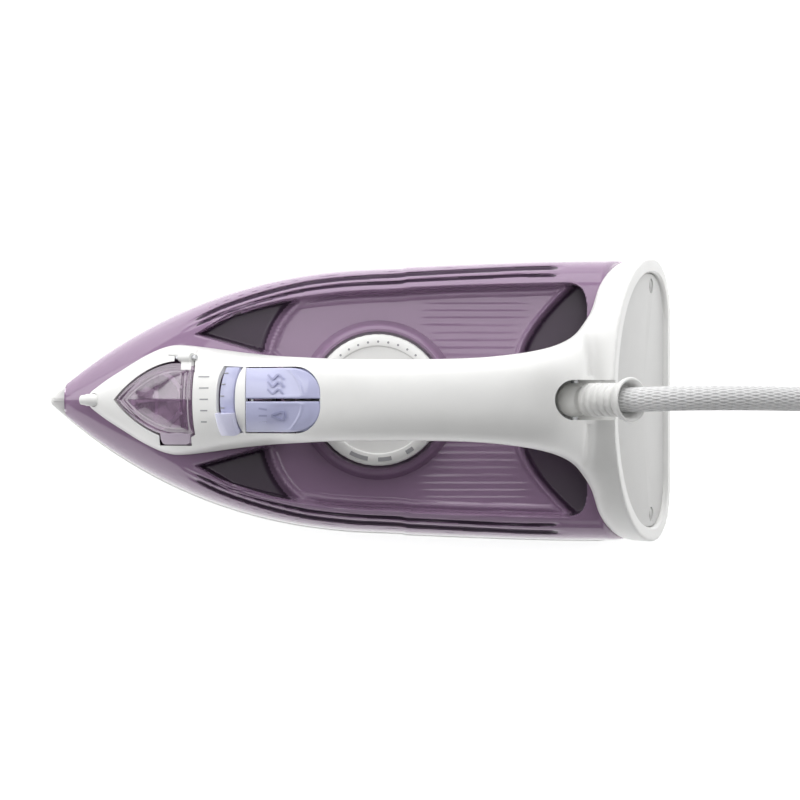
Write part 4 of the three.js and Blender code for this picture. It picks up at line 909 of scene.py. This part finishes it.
def make_cover():
    cover = grip_loft("cover", 0, last=98.0)
    rim = [(2.2, HEEL_DEPTH), (0.8, HEEL_DEPTH - 0.6), (0, HEEL_DEPTH - 2.2), (0, 0.4), (0.4, 0)]
    combine(cover, "UNION", heel_loft("heel", *rim))
    remesh(cover, REMESH)
    relax(cover, flare_weight, 120)
    relax(cover, front_weight, 60)
    relax(cover, crown_weight, 140)
    relax(cover, voxel_weight, 3, 0.4)
    mouth = [(RIM_WIDTH, RIM_DEPTH + 1), (RIM_WIDTH, 0.9), (RIM_WIDTH - 0.9, -0.05), (RIM_WIDTH - 1, -2)]
    lug_reach = DOOR_AXIS * (LUG_HALF + GAP)
    combine(
        cover, "DIFFERENCE",
        heel_loft("heel_hollow", (2.6, 9), (2.6, RIM_DEPTH)),
        heel_loft("rim_hollow", *mouth),
        grip_loft("grip_hollow", COVER_WALL, -117, 95),
        tank_loft("tank_room", -2 * GAP, TANK_Z - 4),
        prism("floor_room", hull_outline(0.2, TANK_REAR_X - 8, 6), 18, TANK_Z + 6),
        prism("pocket_room", pocket_outline(-0.2), DECK_Z - 1, 68),
        under_grip_zone("grip_parting", 0),
        prism("guard_slot", slot_outline(0, 150), SLOT_FLOOR_Z, 170),
        slanted_prism("door_opening", door_outline(GAP), DOOR_LEAN, 45, 110),
        button_cutter("left_opening", button_outline(1, 0.1)),
        button_cutter("right_opening", button_outline(-1, 0.1)),
        button_cutter("seam_opening", [(-49.4, -0.4), (-17.2, -0.4), (-17.2, 0.4), (-49.4, 0.4)]),
        sector("slider_slot", 15, 34, math.radians(-37), math.radians(37), -5.3, 5.3),
        rod("nozzle_hole", NOZZLE_FROM, NOZZLE_FROM + NOZZLE_AIM * 12, NOZZLE_RADIUS + GAP),
        rod("lug_room", DOOR_HINGE - lug_reach, DOOR_HINGE + lug_reach, 2.2 + GAP),
        box("tab_room", -88.5, -73.9, -20, -12, 60, 100),
        box("hinge_room", -81.6, -72.2, 12, 19.2, 70, 110),
    )
    walls = prism("slot_walls", slot_outline(1.6, 103), SLOT_FLOOR_Z + 2, 160)
    slot_room = prism("slot_room", slot_outline(0, 150), SLOT_FLOOR_Z, 170)
    combine(walls, "DIFFERENCE", slot_room, under_grip_zone("walls_parting", 0))
    combine(walls, "INTERSECT", grip_loft("walls_zone", 0.6))
    combine(cover, "UNION", walls)
    shelf = prism("slot_shelf", slot_outline(0.8, 104), SLOT_FLOOR_Z + 0.6, SLOT_FLOOR_Z + 2)
    cord_hole = rod("cord_hole", (93, 0, 80), (93, 0, 110), 4.6)
    combine(shelf, "DIFFERENCE", cord_hole, box("shelf_front", 80, 86, -12, 12, 90, 110))
    block = prism("slot_block", slot_outline(0.8, 87), 84, SLOT_FLOOR_Z + 5.5)
    combine(block, "INTERSECT", grip_loft("block_zone", 0))
    combine(cover, "UNION", shelf, block)
    combine(cover, "DIFFERENCE", guard_bore("pin_bore", 20))
    paint(cover, WHITE, 32)
    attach(cover, "iron")
    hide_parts("handle_cover")


def make_under_grip():
    under = grip_loft("under_grip_shell", 0)
    combine(under, "INTERSECT", under_grip_zone("under_zone", GAP))
    combine(under, "DIFFERENCE", grip_loft("under_hollow", COVER_WALL, PARTING[0] + 2.4, PARTING[1] - 2.4))
    paint(under, WHITE, 32)
    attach(under, "iron")
    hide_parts("under_grip")


# ------------------------------------------------------------------ violet water tank
TANK_WALL = 2.2
TANK_TIP_X = -132.4
REAR_X = TANK_REAR_X + 3.5  # the shell's rear edge goes in under the heel
FILLER = (-88, 12.5)  # x and radius of the holes in the tank's top
VALVE = (-44, 6.6)
DIAL_CENTRE = (7.4, 0.0)
SHOULDER = 15.0  # the tank's rounded outer band, next to which the deck's grid begins
GROOVE_X = (-80, -62, -25, 20, 70, 92)
GROOVES = (  # how far each groove runs inside the hull's edge along GROOVE_X, its half width and depth
    ((9.0, 7.2, 5.6, 5.2, 4.7, 4.7), 1.15, 1.9), ((11.4, 10.2, 8.5, 8.2, 7.8, 8.2), 0.9, 1.4),
)
RIM_LINE = (3.4, 1.6, 1.0)  # rounded rim round the deck: distance inside the pocket's wall, half width, height
FRONT_ARC = ((-14, 47.5), (-36, 45), (-42, 22), (-42, 8))  # the deck's rounded front corner, a Bezier curve
FRONT_DROP = 4.0
REAR_DROP = 7.0
RECESS_REAR_X = 109.0
SHADE_LEVEL = 0.45  # where a groove or recess is deep enough to get the painted shade
STREAKS = (0.018, 20, 84)  # height and reach along X of the fine ribs moulded in the deck


STEP_X = -126.0  # stations are closer together in front of this
REAR_ROUND = 3.0  # radius of the rear edge


def rear_edge(y):
    """Where the deck ends in front of the heel."""
    return 72 + 20 * (np.clip(y - 20, 0, None) / 26) ** 1.5


def tank_top(x, y, outer_z):
    """Height of the moulded top (band, double groove, pocket wall, rim, deck), and where painted shade goes in
    its grooves and recesses.
    """
    inside = distance_inside(np.column_stack([x, y]), pocket_outline(0, RECESS_REAR_X))
    folded = np.column_stack([x, np.abs(y)])
    z = outer_z.copy()
    from_edge = hull_half_width(x) - folded[:, 1]
    present = step(-80, -66, x) * (1 - step(86, 96, x))
    shade_paint = np.zeros(len(x))
    for places, half, depth in GROOVES:
        share = bulge(from_edge - np.interp(x, GROOVE_X, places), half) * present
        z -= depth * share
        shade_paint = np.maximum(shade_paint, share)
    arc = bezier(FRONT_ARC, 30)
    beside = np.linalg.norm(folded[:, None] - arc[None], axis=2).min(1)
    ahead = folded[:, 0] < np.interp(folded[:, 1], arc[::-1, 1], arc[::-1, 0])
    behind = folded[:, 0] - rear_edge(folded[:, 1])
    place, half, height = RIM_LINE
    rim = height * bulge(inside - place, half) * ~ahead * step(-2, -6, behind)
    rim = np.maximum(rim, (height + 0.8) * bulge(beside, half + 0.4))
    rim = np.maximum(rim, height * bulge(behind + 1.2, half))
    deck = DECK_Z - FRONT_DROP * ahead * step(0.4, 5, beside) - REAR_DROP * step(-0.4, 3, behind)
    height, start, end = STREAKS
    ribs = np.sin(folded[:, 1] * 1.9) + 0.6 * np.sin(folded[:, 1] * 4.1 + 1)
    deck = deck + rim + height * ribs * step(start, start + 18, x) * (1 - step(end - 22, end, x))
    sunk = np.maximum(ahead * step(2, 5, beside), step(0, 2, behind))
    # Painted shade also goes on the sunk front zone and the rear recess of the deck.
    shade_paint = np.maximum(shade_paint, sunk * (inside > 0.5))
    return np.where(inside > -0.6, z + (deck - z) * step(-0.6, 1.7, inside), z), shade_paint


def make_tank_shell():
    rear = REAR_X - REAR_ROUND
    stations = np.concatenate([
        np.linspace(TANK_TIP_X, STEP_X, 14, endpoint=False), np.linspace(STEP_X, rear, 330, endpoint=False),
        rear + REAR_ROUND * np.sin(np.linspace(0, math.pi / 2, 7)),
    ])
    rings, shade_rows = [], []
    for x in stations:
        drop = REAR_ROUND - math.sqrt(max(REAR_ROUND**2 - max(0.0, x - rear) ** 2, 0))
        half = max(float(hull_half_width(x)) - TANK_INSET, TANK_INSET) - 0.35 * drop
        power = 2 / tank_squareness(x)
        crown = tank_crown(x) - TANK_Z - drop
        inner = max(half - SHOULDER, half * 0.35)
        shoulder = half - (half - inner) * np.linspace(0, 1, 56, endpoint=False) ** 1.4
        fine = min(12.0, inner * 0.8)
        outer_flank = np.linspace(inner, inner - fine, 44, endpoint=False)
        flank = np.append(outer_flank, np.linspace(inner - fine, 0, 44))
        y = np.concatenate([shoulder, flank, -flank[-2::-1], -shoulder[::-1]])
        share = np.clip(np.abs(y) / half, 0, 1)
        z = TANK_Z + crown * (1 - share ** (2 / power)) ** (power / 2)
        z, shade_paint = tank_top(np.full(len(y), x), y, z)
        shade_rows.append(shade_paint)
        z[0] = z[-1] = TANK_Z
        rings.append(np.column_stack([x - rear_lean(x, z), y, z]))
    count = len(rings[0])
    points = np.vstack(rings)
    faces = []
    for k, x in enumerate(stations[:-1]):
        for i, y in enumerate(rings[k][:-1, 1]):
            if math.hypot(x - FILLER[0], y) > FILLER[1] and math.hypot(x - VALVE[0], y) > VALVE[1]:
                a = k * count + i
                faces.append((a, a + count, a + count + 1, a + 1))
    last = (len(rings) - 1) * count
    faces.append(tuple(range(last, last + count)))
    faces.append(tuple(range(count - 1, -1, -1)))
    tank = mesh_from("tank", points, faces, VIOLET, VIOLET_SHADE, smooth=False)
    tank.data.flip_normals()
    shade_paint = np.concatenate(shade_rows)
    # Faces deep in the grooves and recesses take the painted shade material.
    for polygon in tank.data.polygons:
        polygon.material_index = int(shade_paint[polygon.vertices[0]] > SHADE_LEVEL)
    wall = tank.modifiers.new("wall", "SOLIDIFY")
    wall.thickness = TANK_WALL * MM
    wall.offset = -1
    apply_modifiers(tank)
    soften(tank, 40)
    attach(tank, "iron")
    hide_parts("tank_shell")
    profile = [
        (30.2, 55.6), (30.2, 62), (30.6, 62.5), (31.4, 62.9),
        (32.4, 62.6), (33.2, 61.6), (33.8, 59), (35.4, 55.6),
    ]
    collar = ring_of("tank_collar", profile, DIAL_CENTRE, VIOLET)
    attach(collar, "iron")


# ------------------------------------------------------------------ patches that follow the handle's surface
def surface_normal(x, y):
    """Unit normals of the handle's upper surface."""
    d = 0.05
    dx = (grip_surface(x + d, y) - grip_surface(x - d, y)) / (2 * d)
    dy = (grip_surface(x, y + d) - grip_surface(x, y - d)) / (2 * d)
    normal = np.column_stack([-dx, -dy, np.ones_like(dx)])
    return normal / np.linalg.norm(normal, axis=1)[:, None]


def inset_outline(outline, distance):
    """A closed outline moved to its left, which is inwards when it runs anticlockwise."""
    along = np.roll(outline, -1, axis=0) - np.roll(outline, 1, axis=0)
    along /= np.linalg.norm(along, axis=1)[:, None]
    return outline + np.column_stack([-along[:, 1], along[:, 0]]) * distance


def patch(name, outline, centre, thickness, relief, *finishes, lip, rings, lean=0.9):
    """A panel cut to a plan outline out of the handle's surface, with a rounded edge and raised details."""
    outline = np.asarray(outline, float)
    x, y = outline.T
    if np.sum(x * np.roll(y, -1) - np.roll(x, -1) * y) < 0:  # it runs clockwise
        outline = outline[::-1]
    rounds = lip * (1 - np.cos(np.linspace(0, math.pi / 2, 6)))
    edge = [inset_outline(outline, d) for d in rounds]
    drops = [lip - math.sqrt(max(lip**2 - (lip - d) ** 2, 0)) for d in rounds]
    shares = np.linspace(0, 1, rings, endpoint=False)[1:]
    inner = [edge[-1] + (np.asarray(centre) - edge[-1]) * t for t in shares]
    back = np.array((-lean, 0, 1)) / math.hypot(lean, 1)
    layers = []
    for plan, drop in [(edge[0], None), *zip(edge, drops), *((p, 0.0) for p in inner)]:
        height = grip_surface(plan[:, 0], plan[:, 1])
        place = np.column_stack([plan, height])
        normal = surface_normal(plan[:, 0], plan[:, 1])
        if drop is None:
            layers.append(place - back * thickness)
            continue
        layers.append(place + normal * (relief(plan, distance_inside(plan, outline)) - drop)[:, None])
    made = loft(name, layers, *finishes)
    tidy_normals(made)
    soften(made, 40)
    return made


def stroke(name, points, half, height, offset, *finishes):
    """A raised line along plan points on the handle's surface: print, or an engraved icon drawn as painted
    shade.
    """
    points = np.asarray(points, float)
    along = unit_steps(points)
    side = np.column_stack([-along[:, 1], along[:, 0]]) * half
    rings = []
    for sign, up in ((1, offset - 0.1), (1, offset + height), (-1, offset + height), (-1, offset - 0.1)):
        plan = points + side * sign
        rings.append(np.column_stack([plan, grip_surface(plan[:, 0], plan[:, 1]) + up]))
    made = loft(name, np.array(rings).transpose(1, 0, 2), *finishes, smooth=False)
    tidy_normals(made)
    return made


def joined(name, parts):
    """Several meshes made into one object."""
    work = bmesh.new()
    finishes = []
    for part in parts:
        shift = len(finishes)
        finishes += list(part.data.materials)
        start = len(work.faces)
        work.from_mesh(part.data)
        work.faces.ensure_lookup_table()
        for face in work.faces[start:]:
            face.material_index += shift
        bpy.data.objects.remove(part)
    mesh = bpy.data.meshes.new(name)
    work.to_mesh(mesh)
    work.free()
    return link(name, mesh, *finishes)


# ------------------------------------------------------------------ filler door
WINDOW_INSET = 3.6
TAB = (-88.2, -74.2, -19.7, -14.5)  # plan of the tab that opens the door: x from and to, y from and to
TAB_ROUND = 2.4


def door_relief(plan, inside):
    window = step(WINDOW_INSET, WINDOW_INSET + 0.7, inside)
    return 0.55 * window - 0.25 * bulge(inside - 2.0, 0.55)


def flat_relief(height):
    """A relief function of one height all over."""
    return lambda plan, inside: np.full(len(inside), height)


def straight_sided(corners, count):
    """A closed outline with straight sides of count points each."""
    return np.vstack([bezier([a, b], count) for a, b in zip(corners, corners[1:] + corners[:1])])


def make_door():
    door = patch(
        "door_panel", door_outline(-GAP), (-88, 0), 2.0, door_relief, VIOLET_CLEAR,
        lip=0.6, lean=DOOR_LEAN, rings=44,
    )
    x0, x1, y0, y1 = TAB
    tab_plan = np.vstack([
        bezier([(x0, y1), (x0, y0), (x0 + TAB_ROUND, y0)], 8),
        bezier([(x0 + TAB_ROUND, y0), (x1 - TAB_ROUND, y0)], 10),
        bezier([(x1 - TAB_ROUND, y0), (x1, y0), (x1, y1)], 8),
        bezier([(x1, y1), (x0, y1)], 10),
    ])
    tab_centre = ((x0 + x1) / 2, (y0 + y1) / 2)
    tab = patch("door_tab", tab_plan, tab_centre, 2.0, flat_relief(0.1), TAB_MAUVE, lip=0.5, rings=12)
    lug = rod("door_lug", DOOR_HINGE - DOOR_AXIS * LUG_HALF, DOOR_HINGE + DOOR_AXIS * LUG_HALF, 2.1, 32, WHITE)
    strap_plan = straight_sided([(-78.6, 13), (-73.8, 13), (-73.8, 18.3), (-78.6, 18.3)], 8)
    strap = patch("door_strap", strap_plan, (-76.2, 15.6), 1.8, flat_relief(0.1), WHITE, lip=0.4, rings=8)
    for piece in (door, tab, strap, lug):
        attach(piece, "door")
    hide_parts("filler_door")
    clip_plan = straight_sided([(-84.5, 19.4), (-71.6, 19.4), (-71.6, 21.8), (-84.5, 21.8)], 10)
    clip = patch("hinge_clip", clip_plan, (-78, 20.6), 0.4, flat_relief(0.7), WHITE, lip=0.5, rings=8)
    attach(clip, "iron")


# ------------------------------------------------------------------ spray and steam keys
def button_relief(side):
    """A shallow dish for the thumb, a ridge behind it, and a bevel down to the rounded end."""
    def relief(plan, inside):
        x, y = plan.T
        bow = x + 0.035 * y**2  # the ridge is bowed like the rounded end
        ridge = 0.25 * bulge(bow + 24.4, 0.8) * step(0.6, 1.4, inside)
        bevel = 0.9 * step(-24, -17, bow)
        dish = 0.9 * bulge(x + 31, 9) * bulge(y - side * 7.4, 6) * step(0.4, 2, inside)
        return 0.3 + ridge - bevel - dish
    return relief


def drop_outline(x, y, size):
    """A water drop seen from above, its point towards the nose."""
    turn = np.linspace(0, 2 * math.pi, 28)
    c, s = np.cos(turn), np.sin(turn)
    return np.column_stack([x - size * c * (1 + 0.45 * c), y + size * 0.62 * s * (1 - 0.42 * c)])


def steam_curl(x, y, size):
    t = np.linspace(-1, 1, 24)
    return np.column_stack([x + size * t, y + size * 0.28 * np.sin(t * math.pi * 1.4)])


def make_buttons():
    for name, key, side in (("boost_key_cap", "steam_boost_button", 1), ("spray_key_cap", "spray_button", -1)):
        body = "boost_key" if side > 0 else "spray_key"
        cap = patch(
            name, button_outline(side, -GAP), (-33, side * 6.8), 2.6, button_relief(side), LAVENDER,
            lip=0.55, lean=BUTTON_LEAN, rings=40,
        )
        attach(cap, body)
        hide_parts(key)
        marks = []
        # The icons are drawn in the painted shade of their engraving.
        if side > 0:
            for k, across in enumerate((3.6, 6.8, 10.0)):
                curl = steam_curl(-36.4, across, 3.4)
                marks.append(stroke(f"steam_mark_{k}", curl, 0.42, 0.14, 0.3, ENGRAVING_SHADE))
        else:
            marks.append(stroke("drop_mark", drop_outline(-34.2, -6.8, 2.6), 0.42, 0.14, 0.3, ENGRAVING_SHADE))
            for k, across in enumerate((-4.2, -6.8, -9.4)):
                spread = [(-43.6, across * 1.2 + 1.4), (-41.8, across * 1.1 + 0.7), (-40, across)]
                marks.append(stroke(f"spray_mark_{k}", spread, 0.4, 0.14, 0.3, ENGRAVING_SHADE))
        print_ = joined(name.replace("cap", "print"), marks)
        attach(print_, body)


# ------------------------------------------------------------------ steam slider and its track
def make_slider():
    radians = math.radians
    pad_half, arm_half = radians(10.5), radians(2.6)
    pad = sector(
        "slider_pad", SLIDER_RADIUS + 0.2, SLIDER_RADIUS + 3, SLIDER_REST - pad_half, SLIDER_REST + pad_half,
        -4.9, 4.9, KNOB, lip=1.5,
    )
    arm = sector(
        "slider_arm", 1.5, SLIDER_RADIUS + 1, SLIDER_REST - arm_half, SLIDER_REST + arm_half,
        -3, 3, KNOB, steps=4,
    )
    knob = joined("slider_knob", [pad, arm])
    soften(knob, 30)
    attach(knob, "slider")
    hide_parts("steam_slider")
    rail_parts = [sector(
        "slider_rail", SLIDER_RADIUS - 2.6, SLIDER_RADIUS - 0.4, radians(-35), radians(35), -3.8, 3.8, LAVENDER,
        steps=48, lip=0.5,
    )]
    for k, place in enumerate((-20, -8, 4, 16, 28)):
        rail_parts.append(sector(
            f"rail_notch_{k}", SLIDER_RADIUS - 1, SLIDER_RADIUS - 0.1,
            radians(place - 0.5), radians(place + 0.5), -3.4, -1.2, PRINT, steps=3,
        ))
    rail = joined("slider_rail_set", rail_parts)
    soften(rail, 30)
    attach(rail, "iron")
    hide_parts("slider_track")
    marks = []
    for k, across in enumerate((-9.5, -4.6, 0.3, 5.2, 10.1)):
        size = 0.7 + 0.28 * k
        line = [(-68.6 - size, across), (-68, across), (-67.4 + size, across)]
        marks.append(stroke(f"scale_{k}", line, 0.28, 0.1, 0.0, PRINT))
    scale = joined("slider_scale", marks)
    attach(scale, "iron")


# ------------------------------------------------------------------ temperature dial
DIAL_SIDES = 144
DIAL_PROFILE = (  # radius and height
    (0, 70.0), (22.6, 70.0), (23.4, 70.2), (23.9, 70.9), (25, 71.1), (27.6, 70.9), (28.4, 70.4), (28.9, 69.4),
    (29, 61.2), (28.6, 61), (0, 61),
)


def around_dial(radius, angle):
    """Plan points at a distance from the dial's middle."""
    return np.column_stack([DIAL_CENTRE[0] + radius * np.cos(angle), DIAL_CENTRE[1] + radius * np.sin(angle)])


def make_dial():
    angles = circle(DIAL_SIDES)
    rings = []
    for radius, z in DIAL_PROFILE:
        notch = 0.35 if 61.2 < z < 70 else 0.0  # every third line of the rim's upper edge is cut in for grip
        spread = np.maximum(radius - notch * (np.arange(DIAL_SIDES) % 3 == 0), AXIS_RADIUS)
        rings.append(np.column_stack([around_dial(spread, -angles), np.full(DIAL_SIDES, z)]))
    wheel = loft("dial_wheel", rings, WHITE)
    tidy_normals(wheel)
    soften(wheel, 30)
    pointer = prism("dial_pointer", [(-20.4, -1), (-1.5, -2.2), (-1.5, 2.2), (-20.4, 1)], 69.8, 70.9, WHITE)
    for piece in (wheel, pointer):
        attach(piece, "dial")
    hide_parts("temperature_dial")
    marks = []
    for k in range(9):
        centre = around_dial(25.6, math.radians(50 + k * 10))
        turn = circle(20)
        dot = centre + 0.5 * np.column_stack([np.cos(turn), np.sin(turn)])
        marks.append(prism(f"dot_{k}", dot, 71.0, 71.2, PRINT))
    for k in range(3):
        start = math.radians(-118 + k * 28)
        turn = np.linspace(start, start + math.radians(18 - 5 * k), 12)
        bar = np.vstack([around_dial(27.0, turn), around_dial(25.2, turn)[::-1]])
        marks.append(prism(f"bar_{k}", bar, 71.0, 71.14, PRINT))
    printed = joined("dial_print", marks)
    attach(printed, "dial")


# ------------------------------------------------------------------ rear panel, guard, nozzle and well
def make_rear_panel():
    panel = heel_loft("rear_plate", (2.95, RIM_DEPTH + 2.2), (2.95, RIM_DEPTH + GAP))
    face = RIM_WIDTH + GAP
    combine(panel, "UNION", heel_loft(
        "rear_face", (face, RIM_DEPTH + 1.5), (face, 2.3), (face + 0.2, 1.95), (face + 0.6, 1.8),
    ))
    for side in (-1, 1):
        y = side * SCREW_Y
        bore = rod("screw_bore", (110, y, 32), (140, y, 32), 2)
        combine(panel, "DIFFERENCE", bore, rod("head_room", (127.4, y, 32), (140, y, 32), 3.3))
    combine(panel, "DIFFERENCE", box("cord_notch", 90, 140, -11, 11, 91, 130))
    # The rear panel takes the painted shade grey.
    paint(panel, REAR_SHADE_GREY, 30)
    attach(panel, "iron")
    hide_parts("rear_panel")


GUARD_RIBS = 5
GUARD_PITCH = 3.9
RIB = (  # radius, distance
    (6.0, 0), (6.15, 0.25), (6.9, 0.5), (7.2, 0.85), (7.2, 2.4), (6.9, 2.8), (6.15, 3.05),
)
GUARD_MOUTH = (
    (6.3, 27.6), (7.4, 28.2), (8.6, 29.8), (9.3, 31.4), (9.7, 32.6), (9.75, 33.3), (9.4, 33.9), (8.9, 34),
    (8.4, 33.7), (7.6, 31.5), (7.0, 29.4), (6.6, 27.2), (6.4, 27), (0, 27),
)


def make_guard():
    profile = [(7.5 * math.sin(a), -7.5 * math.cos(a)) for a in np.linspace(0.02, math.radians(132), 18)]
    for k in range(GUARD_RIBS):
        profile += [(radius, 8 + k * GUARD_PITCH + along) for radius, along in RIB]
    guard = turned("guard_sleeve", [*profile, *GUARD_MOUTH], GUARD_PIVOT, GUARD_AXIS, GUARD_RUBBER, sides=72)
    combine(guard, "DIFFERENCE", guard_bore("guard_bore", 12))
    soften(guard, 40)
    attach(guard, "guard")
    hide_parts("cord_guard")


def make_nozzle():
    profile = [
        (0, -0.6), (2.2, -0.6), (2.65, -0.2), (NOZZLE_RADIUS, 0.3), (NOZZLE_RADIUS, 4.8), (2.55, 5.4), (2.3, 6),
        (2.1, 7.5), (1.9, 7.95), (1.5, 8.2), (0.75, 8.2), (0.6, 7.9), (0.5, 6), (0, 6),
    ]
    nozzle = turned("nozzle_tip", profile, NOZZLE_FROM + NOZZLE_AIM * 0.6, NOZZLE_AIM, WHITE, sides=48)
    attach(nozzle, "iron")
    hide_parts("spray_nozzle")


def make_well():
    well = ring_of("well_funnel", [(10.5, 54), (12.15, 54), (12.15, 90), (10.5, 90)], (FILLER[0], 0))
    cross = [
        box("cross_long", -99, -77, -0.7, 0.7, 52, 56), box("cross_short", -88.7, -87.3, -11, 11, 52.2, 56),
    ]
    combine(well, "UNION", *cross)
    combine(well, "INTERSECT", grip_loft("well_zone", 4.2, -118, -60))
    paint(well, WELL)
    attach(well, "iron")
    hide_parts("filler_well")


# ------------------------------------------------------------------ soleplate and skirt
SOLE_SCREWS = ((-100, 0), (98, 44), (98, -44))


def layered(name, outline, levels):
    """A body over one outline through (inset, z) levels."""
    return loft(name, [
        np.column_stack([inset_outline(outline, inset), np.full(len(outline), z)]) for inset, z in levels
    ])


def make_sole():
    plate = layered("sole", hull_outline(0.4, 116, 12), [
        (1.6, 0), (0.7, 0.25), (0.2, 0.9), (0, 2), (0, 10.2), (0.25, 10.8), (0.9, 11),
    ])
    vents = [(x, float(hull_half_width(x)) - 11 - row * 0.6) for row, x in enumerate(range(-110, -30, 16))]
    vents += [(-20, 45), (20, 45), (0, 39), (40, 39)]
    combine(plate, "DIFFERENCE", *(
        rod("vent", (x, side * y, -1), (x, side * y, 3.5), 1.25, 20) for side in (1, -1) for x, y in vents
    ))
    paint(plate, SOLE)
    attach(plate, "iron")
    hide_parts("soleplate")


def make_skirt():
    skirt = layered("skirt", hull_outline(-0.3, 115.5, 10), [
        (1.4, 11.4), (0.5, 11.6), (0.1, 12.3), (0, 13.4), (0, 20.4), (0.3, 21.8), (1.2, 23), (2.4, 23.6),
    ])
    combine(skirt, "DIFFERENCE", prism("skirt_room", hull_outline(2, 113.5, 8), 10.4, 21.6))
    x, y = DIAL_CENTRE
    holes = [rod("thermostat_hole", (x, y, 0), (x, y, 50), 7.5)]
    holes += [rod("valve_hole", (VALVE[0], 0, 0), (VALVE[0], 0, 50), 6)]
    holes += [rod("screw_hole", (x, y, 0), (x, y, 50), 2.4, 20) for x, y in SOLE_SCREWS]
    holes += [box("lead_hole", 70, 112, -7, 7, 15, 50), box("lead_gate", 108, 125, -30, 30, 14, 20.5)]
    combine(skirt, "DIFFERENCE", *holes)
    paint(skirt, WHITE)
    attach(skirt, "iron")
    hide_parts("sole_skirt")


# ------------------------------------------------------------------ finishes of the CAD pieces that stay
CAD_FINISHES = (
    (STEEL, (
        "heating_element", "steam_chamber_cover", "fuse_bracket", "sole_screw_nose", "sole_screw_left",
        "sole_screw_right", "door_hinge_pin", "button_hinge_pin", "slider_pivot_pin", "valve_needle",
        "valve_spring", "boost_return_spring", "spray_return_spring", "guard_pivot_pin",
    )),
    (BRASS, (
        "element_terminal_left", "element_terminal_right", "steam_valve_body", "dial_spindle", "plug_pin_live",
        "plug_pin_neutral", "plug_pin_earth",
    )),
    (CERAMIC, ("thermostat", "thermal_fuse")),
    (SILICONE, (
        "tank_gasket", "boost_plunger", "spray_plunger", "spray_hose", "boost_hose",
        "lead_live", "lead_neutral", "lead_earth",
    )),
    (DARK, ("terminal_block", "cord_clamp", "cord_tie")),
    # The pump bodies and rear screws take the rear face's painted shade grey.
    (REAR_SHADE_GREY, ("boost_pump_body", "spray_pump_body", "rear_screw_left", "rear_screw_right")),
    # The tank's floor inside takes the painted shade too.
    (VIOLET_SHADE, ("tank_floor",)),
    (GUARD_RUBBER, ("inner_cord",)),
)


def finish_cad():
    for finish, names in CAD_FINISHES:
        for name in names:
            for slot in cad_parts[name].material_slots:
                slot.material = finish


plug = make_plug()
make_cord()
make_cover()
make_under_grip()
make_tank_shell()
make_door()
make_buttons()
make_slider()
make_dial()
make_rear_panel()
make_guard()
make_nozzle()
make_well()
make_sole()
make_skirt()
finish_cad()


# ------------------------------------------------------------------ floor and light
FLOOR_HALF = 3.0 / MM


def make_stage():
    """A sheet of white paper, which glows a little so that it stays white round the shadows."""
    paper = material("paper", (0.93, 0.93, 0.93), 0.9)
    _, _, shader = paper
    shader.inputs["Emission Color"].default_value = (1, 1, 1, 1)
    shader.inputs["Emission Strength"].default_value = 0.75
    corners = [(x * FLOOR_HALF, y * FLOOR_HALF, 0) for x, y in ((-1, -1), (1, -1), (1, 1), (-1, 1))]
    paper = grain(paper, 40, 0.02, 0.0002, 0.004, 0.02)
    floor = mesh_from("floor", corners, [(0, 1, 2, 3)], paper, smooth=False)


def softbox(name, place, target, size, power):
    light = bpy.data.lights.new(name, "AREA")
    light.shape = "RECTANGLE"
    light.size, light.size_y = size
    light.energy = power
    made = bpy.data.objects.new(name, light)
    made.location = place
    made.rotation_euler = (Vector(target) - Vector(place)).to_track_quat("-Z", "Y").to_euler()
    bpy.context.scene.collection.objects.link(made)


def make_light():
    """A broad softbox overhead, its edge over the middle of the handle, three lower ones, and a dim room."""
    bpy.context.scene.view_settings.view_transform = "Standard"
    world = bpy.data.worlds.new("studio")
    bpy.context.scene.world = world
    world.use_nodes = True
    background = world.node_tree.nodes["Background"]
    background.inputs["Color"].default_value = (0.97, 0.97, 1, 1)
    background.inputs["Strength"].default_value = 0.08
    softbox("key", (0.0, 1.305, 2.3), (0.0, 1.305, 0), (3.6, 2.6), 53)
    softbox("side", (0.0, 2.2, 0.75), (0, 0, 0.08), (3.2, 1.3), 32)
    softbox("nose", (-1.7, 0.66, 0.5), (-0.08, 0.66, 0.08), (1.3, 0.9), 9)
    softbox("fill", (-0.4, -2.3, 0.9), (0, 0, 0.05), (3.0, 0.5), 3)


make_stage()
make_light()
